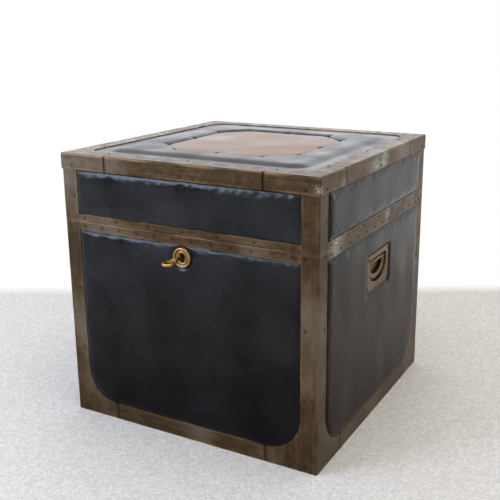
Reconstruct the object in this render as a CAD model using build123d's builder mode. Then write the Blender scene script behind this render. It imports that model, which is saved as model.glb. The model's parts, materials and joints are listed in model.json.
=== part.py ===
from build123d import *
import math
import os

os.makedirs("parts", exist_ok=True)

# Campaign trunk: a wooden box with a hinged lid, covered in leather and bound in nailed brass.
# Millimetres. The origin is on the floor under the middle of the trunk. Seen from the front,
# X is to the right, Y to the back and Z up.

# Trunk
trunk_width = 456.0  # over the corner posts
trunk_depth = 456.0
trunk_height = 450.0  # to the top of the brass cap
seam_height = 340.0  # where the lid leaves the body
board_t = 13.0
leather_t = 1.5
brass_t = 1.0

# Brass binding
post_width = 28.0
foot_radius = 57.0  # hollow curve where a post spreads into its foot
foot_run = 2.0  # straight end of the foot past its curve
base_strip_height = 28.0
body_rim_height = 15.0
lid_rim_height = 12.0
strip_gap = 0.3  # between strips that meet end to end
cap_t = 1.5
cap_side = 26.0  # how far the cap comes down the sides
cap_top = 30.0  # how far it reaches over the top
cap_leg = 88.0  # length of a cap corner along each edge
cap_corner_radius = 28.0
cap_gap = 0.8  # open joint at each end of a cap strip

# Padding under the leather
panel_rise = 2.0  # how far a side panel swells past the brass line
panel_inset = 2.5  # flat leather left between the brass and the swelling
panel_slope = 60.0  # lean of the swelling's edge
panel_corner = 4.0
ring_rise = 5.0  # crest of the padded ring over the flat leather
ring_margin = 18.0  # flat band between the cap and the ring
ring_slope = 19.0  # width of the ring's outer slope
ring_corner = 7.0  # at the crest
medallion_half = 124.0  # centre to a long side of the eight-cornered medallion
medallion_corner = 82.0  # half the length of a long side
medallion_t = 3.0
medallion_crown = 1.8
medallion_slope = 40.0
medallion_gap = 0.15  # each side of the seam round the medallion
dish_width = 10.0  # slope from the ring's crest down to the medallion

# Nails
nail_radius = 1.7
nail_head_t = 0.8
nail_length = 11.0
rim_nails = 12
lid_rim_nails = 7
post_nails = 4
nail_margin = 12.0  # from the end of a strip to its first nail
post_nail_inset = 21.0  # from the corner of the trunk
cap_nail_rise = 6.0  # over the lower edge of the cap
top_nail_inset = 5.0  # from the inner edge of the cap
foot_nail_height = 10.0
top_nail_spacing = 150.0
dome_head = 4.4
dome_height = 2.2
dome_shank = 2.0
dome_length = 12.0

# Screws, all of one pattern with heads let in flush
screw_head = 2.7
screw_head_t = 0.9
screw_shank = 1.5
screw_length = 10.0
screw_fit = 0.1

# Back hinges with heels that stop the lid
hinge_width = 50.0
hinge_inset = 100.0  # from the side of the trunk to the middle of a hinge
leaf_height = 30.0
leaf_t = 2.0
leaf_fit = 0.3
knuckle_radius = 3.2
knuckle_gap = 0.25
knuckle_count = 3
pin_radius = 1.5
pin_fit = 0.05
axis_stand = 3.4  # hinge axis behind the brass
heel_reach = 9.0
heel_height = 14.0
lid_opening = 100.0  # degrees
heel_play = 0.5  # degrees left between the heels when the lid is open
leaf_screw_spacing = 17.0
leaf_screw_margin = 7.0

# Flush handles
handle_height = 257.5
plate_width = 97.0
plate_height = 61.0
plate_t = 1.8
plate_bevel = 1.0
cup_width = 78.0
cup_height = 44.0
cup_corner = 4.0
cup_depth = 9.0
cup_wall = 1.5
cup_fit = 0.3
bail_width = 62.0  # between the ends of the curved grip
bail_drop = 28.0
grip_width = 6.4  # of the grip's flat band, seen from the side of the trunk
grip_t = 4.8
bail_bar_radius = 3.0
bail_margin = 7.0  # bail axis below the top of the cup
bail_sink = 3.0  # bail axis inside the face of the leather
bail_end_gap = 0.5
bail_pin_radius = 1.6
bail_pin_depth = 8.0
plate_screw_margin = 5.0

# Lock and key
key_drop = 34.0  # key axis below the seam
key_radius = 2.6
key_fit = 0.15
keyhole_fit = 0.6
bit_reach = 8.5
bit_t = 2.0
bit_length = 6.0
case_below = 15.0  # case below the key axis
case_depth = 14.0
case_wall = 1.5
case_ear = 10.0
bolt_travel = 8.0  # from the key at rest to locked, half a turn
bolt_return = 4.0  # from the key at rest back to the bit hanging down, a quarter turn
bolt_lift = 6.2  # lower edge of the bolt over the key axis
bolt_height = 8.0
bolt_t = 4.0
bolt_fit = 0.2
notch_fit = 0.5
staple_offset = 19.5  # middle of the staple beside the key
staple_t = 3.0
staple_width = 9.0
staple_drop = 3.5  # staple below the eye
staple_fit = 0.8  # round the staple in the case's slot
eye_fit = 0.6
tip_gap = 1.0  # bolt short of the staple at rest
end_gap = 1.5  # bolt to the ends of the case
guide_t = 2.0
strike_lift = 0.2  # plate over the lock case
strike_t = 1.5
strike_height = 18.0
strike_side = 12.0  # plate past the staple
escutcheon_radius = 16.5
escutcheon_height = 4.6
escutcheon_floor = 1.4
escutcheon_rim = 3.6  # width of the raised rim
bow_radius = 10.5
bow_wire = 4.2
bow_sides = 24
bow_slope = 30.0  # lean of the wire's four sloping sides
bow_out = 34.0  # centre of the key's bow in front of the brass
collar_radius = 4.4
collar_t = 4.0

half_width = trunk_width / 2
half_depth = trunk_depth / 2
skin_t = leather_t + brass_t
wall_t = board_t + skin_t
body_top = seam_height - brass_t  # boards, leather and posts end under the folded rim
lid_bottom = seam_height + brass_t
top_leather_bottom = trunk_height - cap_t - leather_t
flat_top = trunk_height - cap_t
foot_length = post_width + foot_radius + foot_run
hinge_x = half_width - hinge_inset
axis_y = half_depth + axis_stand
key_height = seam_height - key_drop
hinge_nail_clear = hinge_width / 2 + 2 * nail_radius  # no rim nails nearer to the middle of a hinge

# The sides in order round the trunk: a plane through its centre that faces outwards, half the
# length of the side, its distance from the centre, and 1 where its panels fit between the others.
sides = {
    "front": (Plane(origin=(0, 0, 0), x_dir=(1, 0, 0), z_dir=(0, -1, 0)), half_width, half_depth, 0),
    "right": (Plane(origin=(0, 0, 0), x_dir=(0, 1, 0), z_dir=(1, 0, 0)), half_depth, half_width, 1),
    "back": (Plane(origin=(0, 0, 0), x_dir=(-1, 0, 0), z_dir=(0, 1, 0)), half_width, half_depth, 0),
    "left": (Plane(origin=(0, 0, 0), x_dir=(0, -1, 0), z_dir=(-1, 0, 0)), half_depth, half_width, 1),
}
corners = {
    "front_right": ("front", "right"),
    "back_right": ("right", "back"),
    "back_left": ("back", "left"),
    "front_left": ("left", "front"),
}


def upright(low, high, half_length):
    # A plain rectangle on a side, from one height to another.
    with Locations((0, (low + high) / 2)):
        Rectangle(2 * half_length, high - low)


def keyhole(fit):
    # A round hole over a slot that the bit passes through.
    with Locations((0, key_height)):
        Circle(key_radius + fit)
    with Locations((0, key_height - (bit_reach + fit) / 2)):
        Rectangle(bit_t + 2 * fit, bit_reach + fit)


def cup_outline(margin):
    with Locations((0, handle_height)):
        RectangleRounded(cup_width + 2 * margin, cup_height + 2 * margin, cup_corner + margin)


def octagon(grow):
    # The medallion's outline, moved outwards by grow on all eight sides.
    a = medallion_half + grow
    b = medallion_corner + grow * math.tan(math.pi / 8)
    Polygon((a, b), (b, a), (-b, a), (-a, b), (-a, -b), (-b, -a), (b, -a), (a, -b), align=None)


def plan_plane(plane, height):
    # Seen from above, with X along the side and the outside towards -Y.
    return Plane(origin=(0, 0, height), x_dir=plane.x_dir, z_dir=(0, 0, 1))


def leaf_footprint(margin, low, high):
    # Where the hinge leaves lie on the back.
    with Locations((-hinge_x, (low + high) / 2), (hinge_x, (low + high) / 2)):
        Rectangle(hinge_width + 2 * margin, high - low + 2 * margin)


def screws(face, points, fit=0.0, length=screw_length, mode=Mode.ADD):
    # Six-sided screws with their heads flush with the face, or with a fit the holes for them.
    # They are drawn on the face as seen from inside, where up and down change places.
    into = Plane(origin=face.origin, x_dir=face.x_dir, z_dir=-face.z_dir)
    places = [(x, -y) for x, y in points]
    with BuildSketch(into) as heads:
        with Locations(*places):
            RegularPolygon(screw_head + fit, 6)
    extrude(heads.sketch, amount=screw_head_t, mode=mode)
    with BuildSketch(into) as shanks:
        with Locations(*places):
            RegularPolygon(screw_shank + fit, 6)
    extrude(shanks.sketch, amount=length, mode=mode)


def screw_holes(face, points, thickness):
    screws(face, points, screw_fit, thickness, Mode.SUBTRACT)


def add_nails(face, points):
    # Six-sided pins that stand out of the face by the thickness of a nail's head.
    with BuildSketch(face.offset(nail_head_t)) as pins:
        with Locations(*points):
            RegularPolygon(nail_radius, 6)
    extrude(pins.sketch, amount=-nail_head_t - nail_length)


def spread(count, reach):
    # Evenly spaced places from -reach to reach.
    return [reach * (2 * i / (count - 1) - 1) for i in range(count)]


# Wooden carcase
with BuildPart() as bottom_board:
    with BuildSketch():
        Rectangle(2 * (half_width - skin_t), 2 * (half_depth - skin_t))
    extrude(amount=board_t)
bottom_board.part.label = "bottom_board"
export_step(bottom_board.part, "parts/bottom_board.step")

for name, (plane, half_length, reach, between) in sides.items():
    with BuildPart() as board:
        with BuildSketch(plane.offset(reach - skin_t)):
            upright(board_t, body_top, half_length - skin_t - between * board_t)
        extrude(amount=-board_t)
        if name == "front":
            with BuildSketch(plane.offset(reach - skin_t)):
                keyhole(keyhole_fit)
            extrude(amount=-board_t, mode=Mode.SUBTRACT)
        if between:
            with BuildSketch(plane.offset(reach - skin_t)):
                cup_outline(cup_wall + cup_fit)
            extrude(amount=leather_t - cup_depth - cup_fit, mode=Mode.SUBTRACT)
    board.part.label = f"{name}_board"
    export_step(board.part, f"parts/{name}_board.step")

# Leather on the sides of the body and of the lid, each panel with a low padded swelling
for group, low, high, field_low, field_high in (
    ("body", 0, body_top, base_strip_height, seam_height - body_rim_height),
    ("lid", lid_bottom, top_leather_bottom, seam_height + lid_rim_height, trunk_height - cap_side),
):
    for name, (plane, half_length, reach, between) in sides.items():
        face = plane.offset(reach - brass_t)
        with BuildPart() as leather:
            with BuildSketch(plane.offset(reach - skin_t)):
                upright(low, high, half_length - brass_t - between * leather_t)
            extrude(amount=leather_t)
            with BuildSketch(face) as field:
                half_field = half_length - post_width - panel_inset
                upright(field_low + panel_inset, field_high - panel_inset, half_field)
                chamfer(field.vertices().group_by(Axis.Y)[-1], panel_corner)
                low_corners = field.vertices().group_by(Axis.Y)[0]
                if group == "body":
                    fillet(low_corners, foot_radius - panel_inset)
                else:
                    chamfer(low_corners, panel_corner)
            extrude(amount=panel_rise, taper=panel_slope)
            if group == "body" and between:
                with BuildSketch(face):
                    with Locations((0, handle_height)):
                        Rectangle(plate_width + 2 * panel_inset, plate_height + 2 * panel_inset)
                extrude(amount=panel_rise, mode=Mode.SUBTRACT)
                with BuildSketch(face):
                    cup_outline(cup_wall + cup_fit)
                extrude(amount=-leather_t, mode=Mode.SUBTRACT)
            if group == "body" and name == "front":
                with BuildSketch(face):
                    with Locations((0, key_height)):
                        Circle(escutcheon_radius + panel_inset)
                extrude(amount=panel_rise, mode=Mode.SUBTRACT)
                with BuildSketch(face):
                    keyhole(keyhole_fit)
                extrude(amount=-leather_t, mode=Mode.SUBTRACT)
            if name == "back":
                with BuildSketch(face):
                    leaf_footprint(panel_inset, seam_height - leaf_height, seam_height + leaf_height)
                extrude(amount=panel_rise, mode=Mode.SUBTRACT)
        label = f"{name}_leather" if group == "body" else f"lid_{name}_leather"
        leather.part.label = label
        export_step(leather.part, f"parts/{label}.step")

# Corner posts of the body, each an angle that spreads into a foot on both sides
for name, (first, second) in corners.items():
    with BuildPart() as post:
        for side, way in ((first, 1), (second, -1)):
            plane, half_length, reach, between = sides[side]
            inner = half_length - post_width
            middle = inner - foot_radius
            bend = foot_radius * math.sqrt(0.5)
            with BuildSketch(plane.offset(reach - brass_t)):
                with BuildLine():
                    Polyline(
                        (way * middle, base_strip_height),
                        (way * (half_length - foot_length), base_strip_height),
                        (way * (half_length - foot_length), 0),
                        (way * half_length, 0),
                        (way * half_length, body_top),
                        (way * inner, body_top),
                        (way * inner, base_strip_height + foot_radius),
                    )
                    ThreePointArc(
                        (way * inner, base_strip_height + foot_radius),
                        (way * (middle + bend), base_strip_height + foot_radius - bend),
                        (way * middle, base_strip_height),
                    )
                make_face()
            extrude(amount=brass_t)
    post.part.label = f"{name}_post"
    export_step(post.part, f"parts/{name}_post.step")

with BuildPart() as lid_posts:
    for first, second in corners.values():
        for side, way in ((first, 1), (second, -1)):
            plane, half_length, reach, between = sides[side]
            with BuildSketch(plane.offset(reach - brass_t)):
                with Locations((way * (half_length - post_width / 2), (lid_bottom + flat_top) / 2)):
                    Rectangle(post_width, flat_top - lid_bottom)
            extrude(amount=brass_t)
lid_posts.part.label = "lid_posts"
export_step(lid_posts.part, "parts/lid_posts.step")

for name, (plane, half_length, reach, between) in sides.items():
    with BuildPart() as base_strip:
        with BuildSketch(plane.offset(reach - brass_t)):
            upright(0, base_strip_height, half_length - foot_length - strip_gap)
        extrude(amount=brass_t)
    base_strip.part.label = f"{name}_base_strip"
    export_step(base_strip.part, f"parts/{name}_base_strip.step")


def folded_rim(name, way, height, fold):
    # A strip between the posts, folded over the edge of the box and mitred at the corners.
    # It runs down from the seam where way is -1 and up from it where way is 1.
    plane, half_length, reach, between = sides[name]
    low, high = sorted((seam_height, seam_height + way * height))
    leaf_low, leaf_high = sorted((seam_height, seam_height + way * leaf_height))
    with BuildPart() as rim:
        with BuildSketch(plane.offset(reach - brass_t)):
            upright(low, high, half_length - post_width - strip_gap)
        extrude(amount=brass_t)
        with BuildSketch(plan_plane(plane, fold)):
            Polygon(
                (strip_gap - half_length, -reach),
                (half_length - strip_gap, -reach),
                (half_length - strip_gap - wall_t, wall_t - reach),
                (strip_gap + wall_t - half_length, wall_t - reach),
                align=None,
            )
        extrude(amount=brass_t)
        if name == "back":
            with BuildSketch(plane.offset(reach - brass_t)):
                leaf_footprint(leaf_fit, leaf_low, leaf_high)
            extrude(amount=brass_t, mode=Mode.SUBTRACT)
    return rim.part


for name in sides:
    with BuildPart() as rim:
        add(folded_rim(name, -1, body_rim_height, body_top))
    rim.part.label = f"{name}_rim_strip"
    export_step(rim.part, f"parts/{name}_rim_strip.step")

with BuildPart() as lid_rim_strips:
    for name in sides:
        add(folded_rim(name, 1, lid_rim_height, seam_height))
lid_rim_strips.part.label = "lid_rim_strips"
export_step(lid_rim_strips.part, "parts/lid_rim_strips.step")

# Lid boards
with BuildPart() as lid_top_board:
    with BuildSketch(Plane.XY.offset(top_leather_bottom)):
        Rectangle(2 * (half_width - skin_t), 2 * (half_depth - skin_t))
    extrude(amount=-board_t)
lid_top_board.part.label = "lid_top_board"
export_step(lid_top_board.part, "parts/lid_top_board.step")

for name, (plane, half_length, reach, between) in sides.items():
    with BuildPart() as board:
        with BuildSketch(plane.offset(reach - skin_t)):
            upright(lid_bottom, top_leather_bottom - board_t, half_length - skin_t - between * board_t)
        extrude(amount=-board_t)
    board.part.label = f"lid_{name}_board"
    export_step(board.part, f"parts/lid_{name}_board.step")

# Black leather on top: a flat band under the cap, then a padded ring round the medallion
ring_half_x = half_width + cap_t - cap_top - ring_margin
ring_half_y = half_depth + cap_t - cap_top - ring_margin
crest = flat_top + ring_rise
medallion_edge = top_leather_bottom + medallion_t
with BuildPart() as top_leather_ring:
    with BuildSketch(Plane.XY.offset(top_leather_bottom)):
        Rectangle(2 * (half_width - brass_t), 2 * (half_depth - brass_t))
    extrude(amount=leather_t)
    with BuildSketch(Plane.XY.offset(flat_top)):
        RectangleRounded(2 * ring_half_x, 2 * ring_half_y, ring_corner + ring_slope)
    extrude(amount=ring_rise, taper=math.degrees(math.atan2(ring_slope, ring_rise)))
    with BuildSketch(Plane.XY.offset(top_leather_bottom)):
        octagon(medallion_gap)
    extrude(amount=medallion_t, mode=Mode.SUBTRACT)
    # The dish narrows downwards from the crest to the medallion's edge.
    dish_depth = crest - medallion_edge
    with BuildSketch(Plane(origin=(0, 0, crest), x_dir=(1, 0, 0), z_dir=(0, 0, -1))):
        octagon(medallion_gap + dish_width)
    extrude(amount=dish_depth, taper=math.degrees(math.atan2(dish_width, dish_depth)), mode=Mode.SUBTRACT)
top_leather_ring.part.label = "top_leather_ring"
export_step(top_leather_ring.part, "parts/top_leather_ring.step")

with BuildPart() as top_medallion:
    with BuildSketch(Plane.XY.offset(top_leather_bottom)):
        octagon(-medallion_gap)
    extrude(amount=medallion_t)
    with BuildSketch(Plane.XY.offset(medallion_edge)):
        octagon(-medallion_gap)
    extrude(amount=medallion_crown, taper=math.degrees(math.atan2(medallion_slope, medallion_crown)))
top_medallion.part.label = "top_medallion"
export_step(top_medallion.part, "parts/top_medallion.step")

# Brass cap: four corner pieces that wrap three faces, and four straight angles between them
cap_half_x = half_width + cap_t
cap_half_y = half_depth + cap_t
with BuildPart() as cap_corners:
    for sx, sy in ((1, -1), (1, 1), (-1, 1), (-1, -1)):
        arc_x = cap_half_x - cap_top - cap_corner_radius
        arc_y = cap_half_y - cap_top - cap_corner_radius
        bend = cap_corner_radius * math.sqrt(0.5)
        with BuildSketch(Plane.XY.offset(flat_top)):
            with BuildLine():
                Polyline(
                    (sx * arc_x, sy * (cap_half_y - cap_top)),
                    (sx * (cap_half_x - cap_leg), sy * (cap_half_y - cap_top)),
                    (sx * (cap_half_x - cap_leg), sy * cap_half_y),
                    (sx * cap_half_x, sy * cap_half_y),
                    (sx * cap_half_x, sy * (cap_half_y - cap_leg)),
                    (sx * (cap_half_x - cap_top), sy * (cap_half_y - cap_leg)),
                    (sx * (cap_half_x - cap_top), sy * arc_y),
                )
                ThreePointArc(
                    (sx * (cap_half_x - cap_top), sy * arc_y),
                    (sx * (arc_x + bend), sy * (arc_y + bend)),
                    (sx * arc_x, sy * (cap_half_y - cap_top)),
                )
            make_face()
        extrude(amount=cap_t)
        with BuildSketch(Plane.XY.offset(trunk_height - cap_side)):
            with Locations((sx * (cap_half_x - cap_leg / 2), sy * (cap_half_y - cap_t / 2))):
                Rectangle(cap_leg, cap_t)
            with Locations((sx * (cap_half_x - cap_t / 2), sy * (cap_half_y - cap_leg / 2))):
                Rectangle(cap_t, cap_leg)
        extrude(amount=cap_side)
cap_corners.part.label = "cap_corners"
export_step(cap_corners.part, "parts/cap_corners.step")

with BuildPart() as cap_strips:
    for plane, half_length, reach, between in sides.values():
        half_strip = half_length + cap_t - cap_leg - cap_gap
        with BuildSketch(plane.offset(reach)):
            upright(trunk_height - cap_side, trunk_height, half_strip)
        extrude(amount=cap_t)
        with BuildSketch(plan_plane(plane, flat_top)):
            with Locations((0, cap_top / 2 - cap_t - reach)):
                Rectangle(2 * half_strip, cap_top)
        extrude(amount=cap_t)
cap_strips.part.label = "cap_strips"
export_step(cap_strips.part, "parts/cap_strips.step")

# Hinges: each leaf is a plate, a heel behind the knuckles and every second knuckle
heel_angle = math.radians((lid_opening + heel_play) / 2)
knuckle_length = hinge_width / knuckle_count
leaf_inner = -brass_t - axis_stand  # from the axis, with the back of the trunk towards negative
leaf_outer = leaf_inner + leaf_t
knuckle_clear = knuckle_radius + knuckle_gap


def hinge_leaf(middle, way, own):
    # way is -1 for the body's leaf, which hangs below the axis, and 1 for the lid's.
    def section(start):
        # The leaf in section, looking along the axis: outwards to the right, up to the top.
        return Plane(origin=(start, axis_y, seam_height), x_dir=(0, 1, 0), z_dir=(1, 0, 0))

    start = middle - hinge_width / 2
    with BuildPart() as leaf:
        with BuildSketch(section(start)):
            Polygon(
                (leaf_inner, 0),
                (leaf_inner, way * leaf_height),
                (leaf_outer, way * leaf_height),
                (leaf_outer, way * heel_height),
                (heel_reach * math.cos(heel_angle), way * heel_reach * math.sin(heel_angle)),
                (0, 0),
                align=None,
            )
        extrude(amount=hinge_width)
        for i in range(knuckle_count):
            if i % 2 == own:
                with BuildSketch(section(start + i * knuckle_length + knuckle_gap * (i > 0) / 2)):
                    Circle(knuckle_radius)
                extrude(amount=knuckle_length - knuckle_gap * ((i > 0) + (i < knuckle_count - 1)) / 2)
            else:
                low = start + i * knuckle_length - knuckle_gap * (i > 0) / 2
                high = start + (i + 1) * knuckle_length + knuckle_gap * (i < knuckle_count - 1) / 2
                with BuildSketch(section(low)):
                    Circle(knuckle_clear)
                    with Locations((leaf_inner / 2, way * knuckle_clear / 2)):
                        Rectangle(-leaf_inner, knuckle_clear)
                extrude(amount=high - low, mode=Mode.SUBTRACT)
        with BuildSketch(section(start)):
            Circle(pin_radius + pin_fit)
        extrude(amount=hinge_width, mode=Mode.SUBTRACT)
        face = Plane(origin=(middle, axis_y + leaf_outer, 0), x_dir=(-1, 0, 0), z_dir=(0, 1, 0))
        screw_holes(face, leaf_screws(0, way), leaf_t)
    return leaf.part


def leaf_screws(middle, way):
    row = seam_height + way * (leaf_height - leaf_screw_margin)
    return [(middle + i * leaf_screw_spacing, row) for i in (-1, 0, 1)]


for side, middle in (("left", -hinge_x), ("right", hinge_x)):
    for kind, way, own in (("body", -1, 0), ("lid", 1, 1)):
        with BuildPart() as leaf:
            add(hinge_leaf(middle, way, own))
        leaf.part.label = f"{side}_hinge_{kind}_leaf"
        export_step(leaf.part, f"parts/{side}_hinge_{kind}_leaf.step")

with BuildPart() as hinge_pins:
    for middle in (-hinge_x, hinge_x):
        with BuildSketch(Plane(origin=(middle, axis_y, seam_height), z_dir=(1, 0, 0))):
            Circle(pin_radius)
        extrude(amount=hinge_width / 2, both=True)
hinge_pins.part.label = "hinge_pins"
export_step(hinge_pins.part, "parts/hinge_pins.step")

leaf_face = Plane(origin=(0, axis_y + leaf_outer, 0), x_dir=(-1, 0, 0), z_dir=(0, 1, 0))
for kind, way in (("body", -1), ("lid", 1)):
    with BuildPart() as hinge_screws:
        screws(leaf_face, leaf_screws(-hinge_x, way) + leaf_screws(hinge_x, way))
    hinge_screws.part.label = f"{kind}_hinge_screws"
    export_step(hinge_screws.part, f"parts/{kind}_hinge_screws.step")

# Flush handles: a bevelled plate with a sunk cup, and a bail on two pins
bail_height = handle_height + cup_height / 2 - bail_margin
screw_x = plate_width / 2 - plate_screw_margin
screw_z = plate_height / 2 - plate_screw_margin
plate_screws = [(sx * screw_x, handle_height + sz * screw_z) for sx in (-1, 1) for sz in (-1, 1)]
bar_end = cup_width / 2 - bail_end_gap
pin_end = cup_width / 2 + cup_wall


def bail_end(name, x):
    # A plane across the bail's axis at x along it, facing the middle of the handle.
    plane, half_length, reach, between = sides[name]
    level = plane.offset(reach - brass_t - bail_sink)
    towards = plane.x_dir if x < 0 else -plane.x_dir
    return Plane(origin=level.from_local_coords((x, bail_height, 0)), z_dir=towards)


for name in ("left", "right"):
    plane, half_length, reach, between = sides[name]
    leather_face = reach - brass_t
    with BuildPart() as handle_plate:
        with BuildSketch(plane.offset(leather_face)):
            with Locations((0, handle_height)):
                Rectangle(plate_width, plate_height)
        extrude(amount=plate_t)
        outer = handle_plate.faces().sort_by(Axis(plane.origin, plane.z_dir))[-1]
        chamfer(outer.edges(), plate_bevel)
        with BuildSketch(plane.offset(leather_face)):
            cup_outline(cup_wall)
        extrude(amount=-cup_depth)
        with BuildSketch(plane.offset(leather_face + plate_t)):
            cup_outline(0)
        extrude(amount=cup_wall - cup_depth - plate_t, mode=Mode.SUBTRACT)
        for way in (-1, 1):
            with BuildSketch(bail_end(name, way * pin_end)):
                Circle(bail_pin_radius)
            extrude(amount=2 * cup_wall, mode=Mode.SUBTRACT)
        screw_holes(plane.offset(leather_face + plate_t), plate_screws, plate_t)
    handle_plate.part.label = f"{name}_handle_plate"
    export_step(handle_plate.part, f"parts/{name}_handle_plate.step")

    with BuildPart() as bail:
        with BuildLine(plane.offset(leather_face - bail_sink)) as grip:
            ThreePointArc(
                (-bail_width / 2, bail_height),
                (0, bail_height - bail_drop),
                (bail_width / 2, bail_height),
            )
        with BuildSketch(Plane(origin=grip.line @ 0, x_dir=plane.z_dir, z_dir=grip.line % 0)):
            Rectangle(grip_t, grip_width)
        sweep()
        with BuildSketch(bail_end(name, -bar_end)):
            Circle(bail_bar_radius)
        extrude(amount=2 * bar_end)
        for way in (-1, 1):
            with BuildSketch(bail_end(name, way * bar_end)):
                Circle(bail_pin_radius + pin_fit)
            extrude(amount=bail_pin_depth, mode=Mode.SUBTRACT)
    bail.part.label = f"{name}_bail"
    export_step(bail.part, f"parts/{name}_bail.step")

with BuildPart() as handle_pins:
    for name in ("left", "right"):
        for way in (-1, 1):
            with BuildSketch(bail_end(name, way * pin_end)):
                Circle(bail_pin_radius)
            extrude(amount=pin_end - bar_end + bail_pin_depth - bail_end_gap)
handle_pins.part.label = "handle_pins"
export_step(handle_pins.part, "parts/handle_pins.step")

with BuildPart() as handle_screws:
    for name in ("left", "right"):
        plane, half_length, reach, between = sides[name]
        screws(plane.offset(reach - brass_t + plate_t), plate_screws)
handle_screws.part.label = "handle_screws"
export_step(handle_screws.part, "parts/handle_screws.step")

# Lock, screwed to the inside of the front board: a case, a sliding bolt with a notch for the bit,
# a staple that drops in from the lid, and the key
board_inside = half_depth - wall_t
lock_middle = board_inside - case_depth / 2
front_plane = sides["front"][0]
bolt_low = key_height + bolt_lift
bolt_middle = bolt_low + bolt_height / 2
bolt_tip = staple_offset - staple_t / 2 - tip_gap
case_inner = bolt_tip + bolt_travel + end_gap
case_half = case_inner + case_wall
case_low = key_height - case_below
bolt_tail = bolt_return + end_gap - case_inner
slot_near = staple_offset - staple_t / 2 - staple_fit
slot_far = staple_offset + staple_t / 2 + staple_fit
bit_clear = bit_reach + bit_t / 2 + notch_fit
# The bit enters the notch at this angle over the horizontal and leaves it at the same angle beyond.
entry = math.asin((bolt_lift - bit_t / 2) / bit_reach)
notch_half = bit_reach * math.cos(entry) - bolt_travel * (0.5 - entry / math.pi) + bit_t / 2 + notch_fit


def front_block(left, right, low, high, outer, inner, mode=Mode.ADD):
    # A block given by its sides as seen from the front and its distances from the trunk's middle.
    with Locations(((left + right) / 2, -(outer + inner) / 2, (low + high) / 2)):
        Box(right - left, outer - inner, high - low, mode=mode)


case_front = board_inside - case_wall
case_back = board_inside - case_depth
hollow = (case_front, case_back + case_wall)
hollow_top = body_top - case_wall
slot_half = staple_width / 2 + staple_fit
slot_depth = (lock_middle + slot_half, lock_middle - slot_half)
ear_end = case_half + case_ear
low_guide = bolt_low - bolt_fit
top_guide = bolt_low + bolt_height + bolt_fit
with BuildPart() as lock_case:
    front_block(-ear_end, ear_end, case_low, body_top, board_inside, case_front)
    front_block(-case_half, case_half, case_low, body_top, board_inside, case_back)
    front_block(-case_inner, case_inner, case_low + case_wall, hollow_top, *hollow, mode=Mode.SUBTRACT)
    front_block(slot_near, slot_far, hollow_top, body_top, *slot_depth, mode=Mode.SUBTRACT)
    front_block(-case_inner, -bit_clear, low_guide - guide_t, low_guide, *hollow)
    front_block(slot_far, case_inner, low_guide - guide_t, low_guide, *hollow)
    front_block(-case_inner, slot_near, top_guide, top_guide + guide_t, *hollow)
    with BuildSketch(front_plane.offset(board_inside)):
        keyhole(keyhole_fit)
    extrude(amount=-case_wall, mode=Mode.SUBTRACT)
    with BuildSketch(front_plane.offset(case_back)):
        with Locations((0, key_height)):
            Circle(key_radius + key_fit)
    extrude(amount=case_wall, mode=Mode.SUBTRACT)
    case_face = Plane(origin=(0, -case_front, 0), x_dir=(-1, 0, 0), z_dir=(0, 1, 0))
    case_screws = [
        (sx * (case_half + case_ear / 2), height)
        for sx in (-1, 1)
        for height in (case_low + case_ear, body_top - case_ear)
    ]
    screw_holes(case_face, case_screws, case_wall)
lock_case.part.label = "lock_case"
export_step(lock_case.part, "parts/lock_case.step")

with BuildPart() as lock_screws:
    screws(case_face, case_screws)
lock_screws.part.label = "lock_screws"
export_step(lock_screws.part, "parts/lock_screws.step")

with BuildPart() as lock_bolt:
    with BuildSketch(front_plane.offset(lock_middle - bolt_t / 2)):
        with Locations(((bolt_tail + bolt_tip) / 2, bolt_middle)):
            Rectangle(bolt_tip - bolt_tail, bolt_height)
        with Locations((-bolt_travel / 2, bolt_low)):
            Rectangle(2 * notch_half, 2 * (bit_reach - bolt_lift + notch_fit), mode=Mode.SUBTRACT)
    extrude(amount=bolt_t)
lock_bolt.part.label = "lock_bolt"
export_step(lock_bolt.part, "parts/lock_bolt.step")

strike_low = seam_height + strike_lift
strike_top = seam_height + strike_height
strike_half = staple_offset + strike_side
staple_sides = (staple_offset - staple_t / 2, staple_offset + staple_t / 2)
staple_depth = (lock_middle + staple_width / 2, lock_middle - staple_width / 2)
eye_rise = bolt_height / 2 + eye_fit
eye_half = bolt_t / 2 + eye_fit
eye_low = bolt_middle - eye_rise
eye_high = bolt_middle + eye_rise
with BuildPart() as strike_plate:
    front_block(-strike_half, strike_half, strike_low, strike_top, board_inside, board_inside - strike_t)
    front_block(-strike_half, strike_half, strike_low, strike_low + strike_t, board_inside, case_back)
    front_block(*staple_sides, eye_low - staple_drop, strike_low + strike_t, *staple_depth)
    front_block(
        *staple_sides, eye_low, eye_high, lock_middle + eye_half, lock_middle - eye_half, mode=Mode.SUBTRACT
    )
    strike_face = Plane(origin=(0, strike_t - board_inside, 0), x_dir=(-1, 0, 0), z_dir=(0, 1, 0))
    strike_row = seam_height + (strike_t + strike_height) / 2
    strike_screws_at = [(sx * (strike_half - strike_side / 2), strike_row) for sx in (-1, 1)]
    screw_holes(strike_face, strike_screws_at, strike_t)
strike_plate.part.label = "strike_plate"
export_step(strike_plate.part, "parts/strike_plate.step")

with BuildPart() as strike_screws:
    screws(strike_face, strike_screws_at)
strike_screws.part.label = "strike_screws"
export_step(strike_screws.part, "parts/strike_screws.step")

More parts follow.
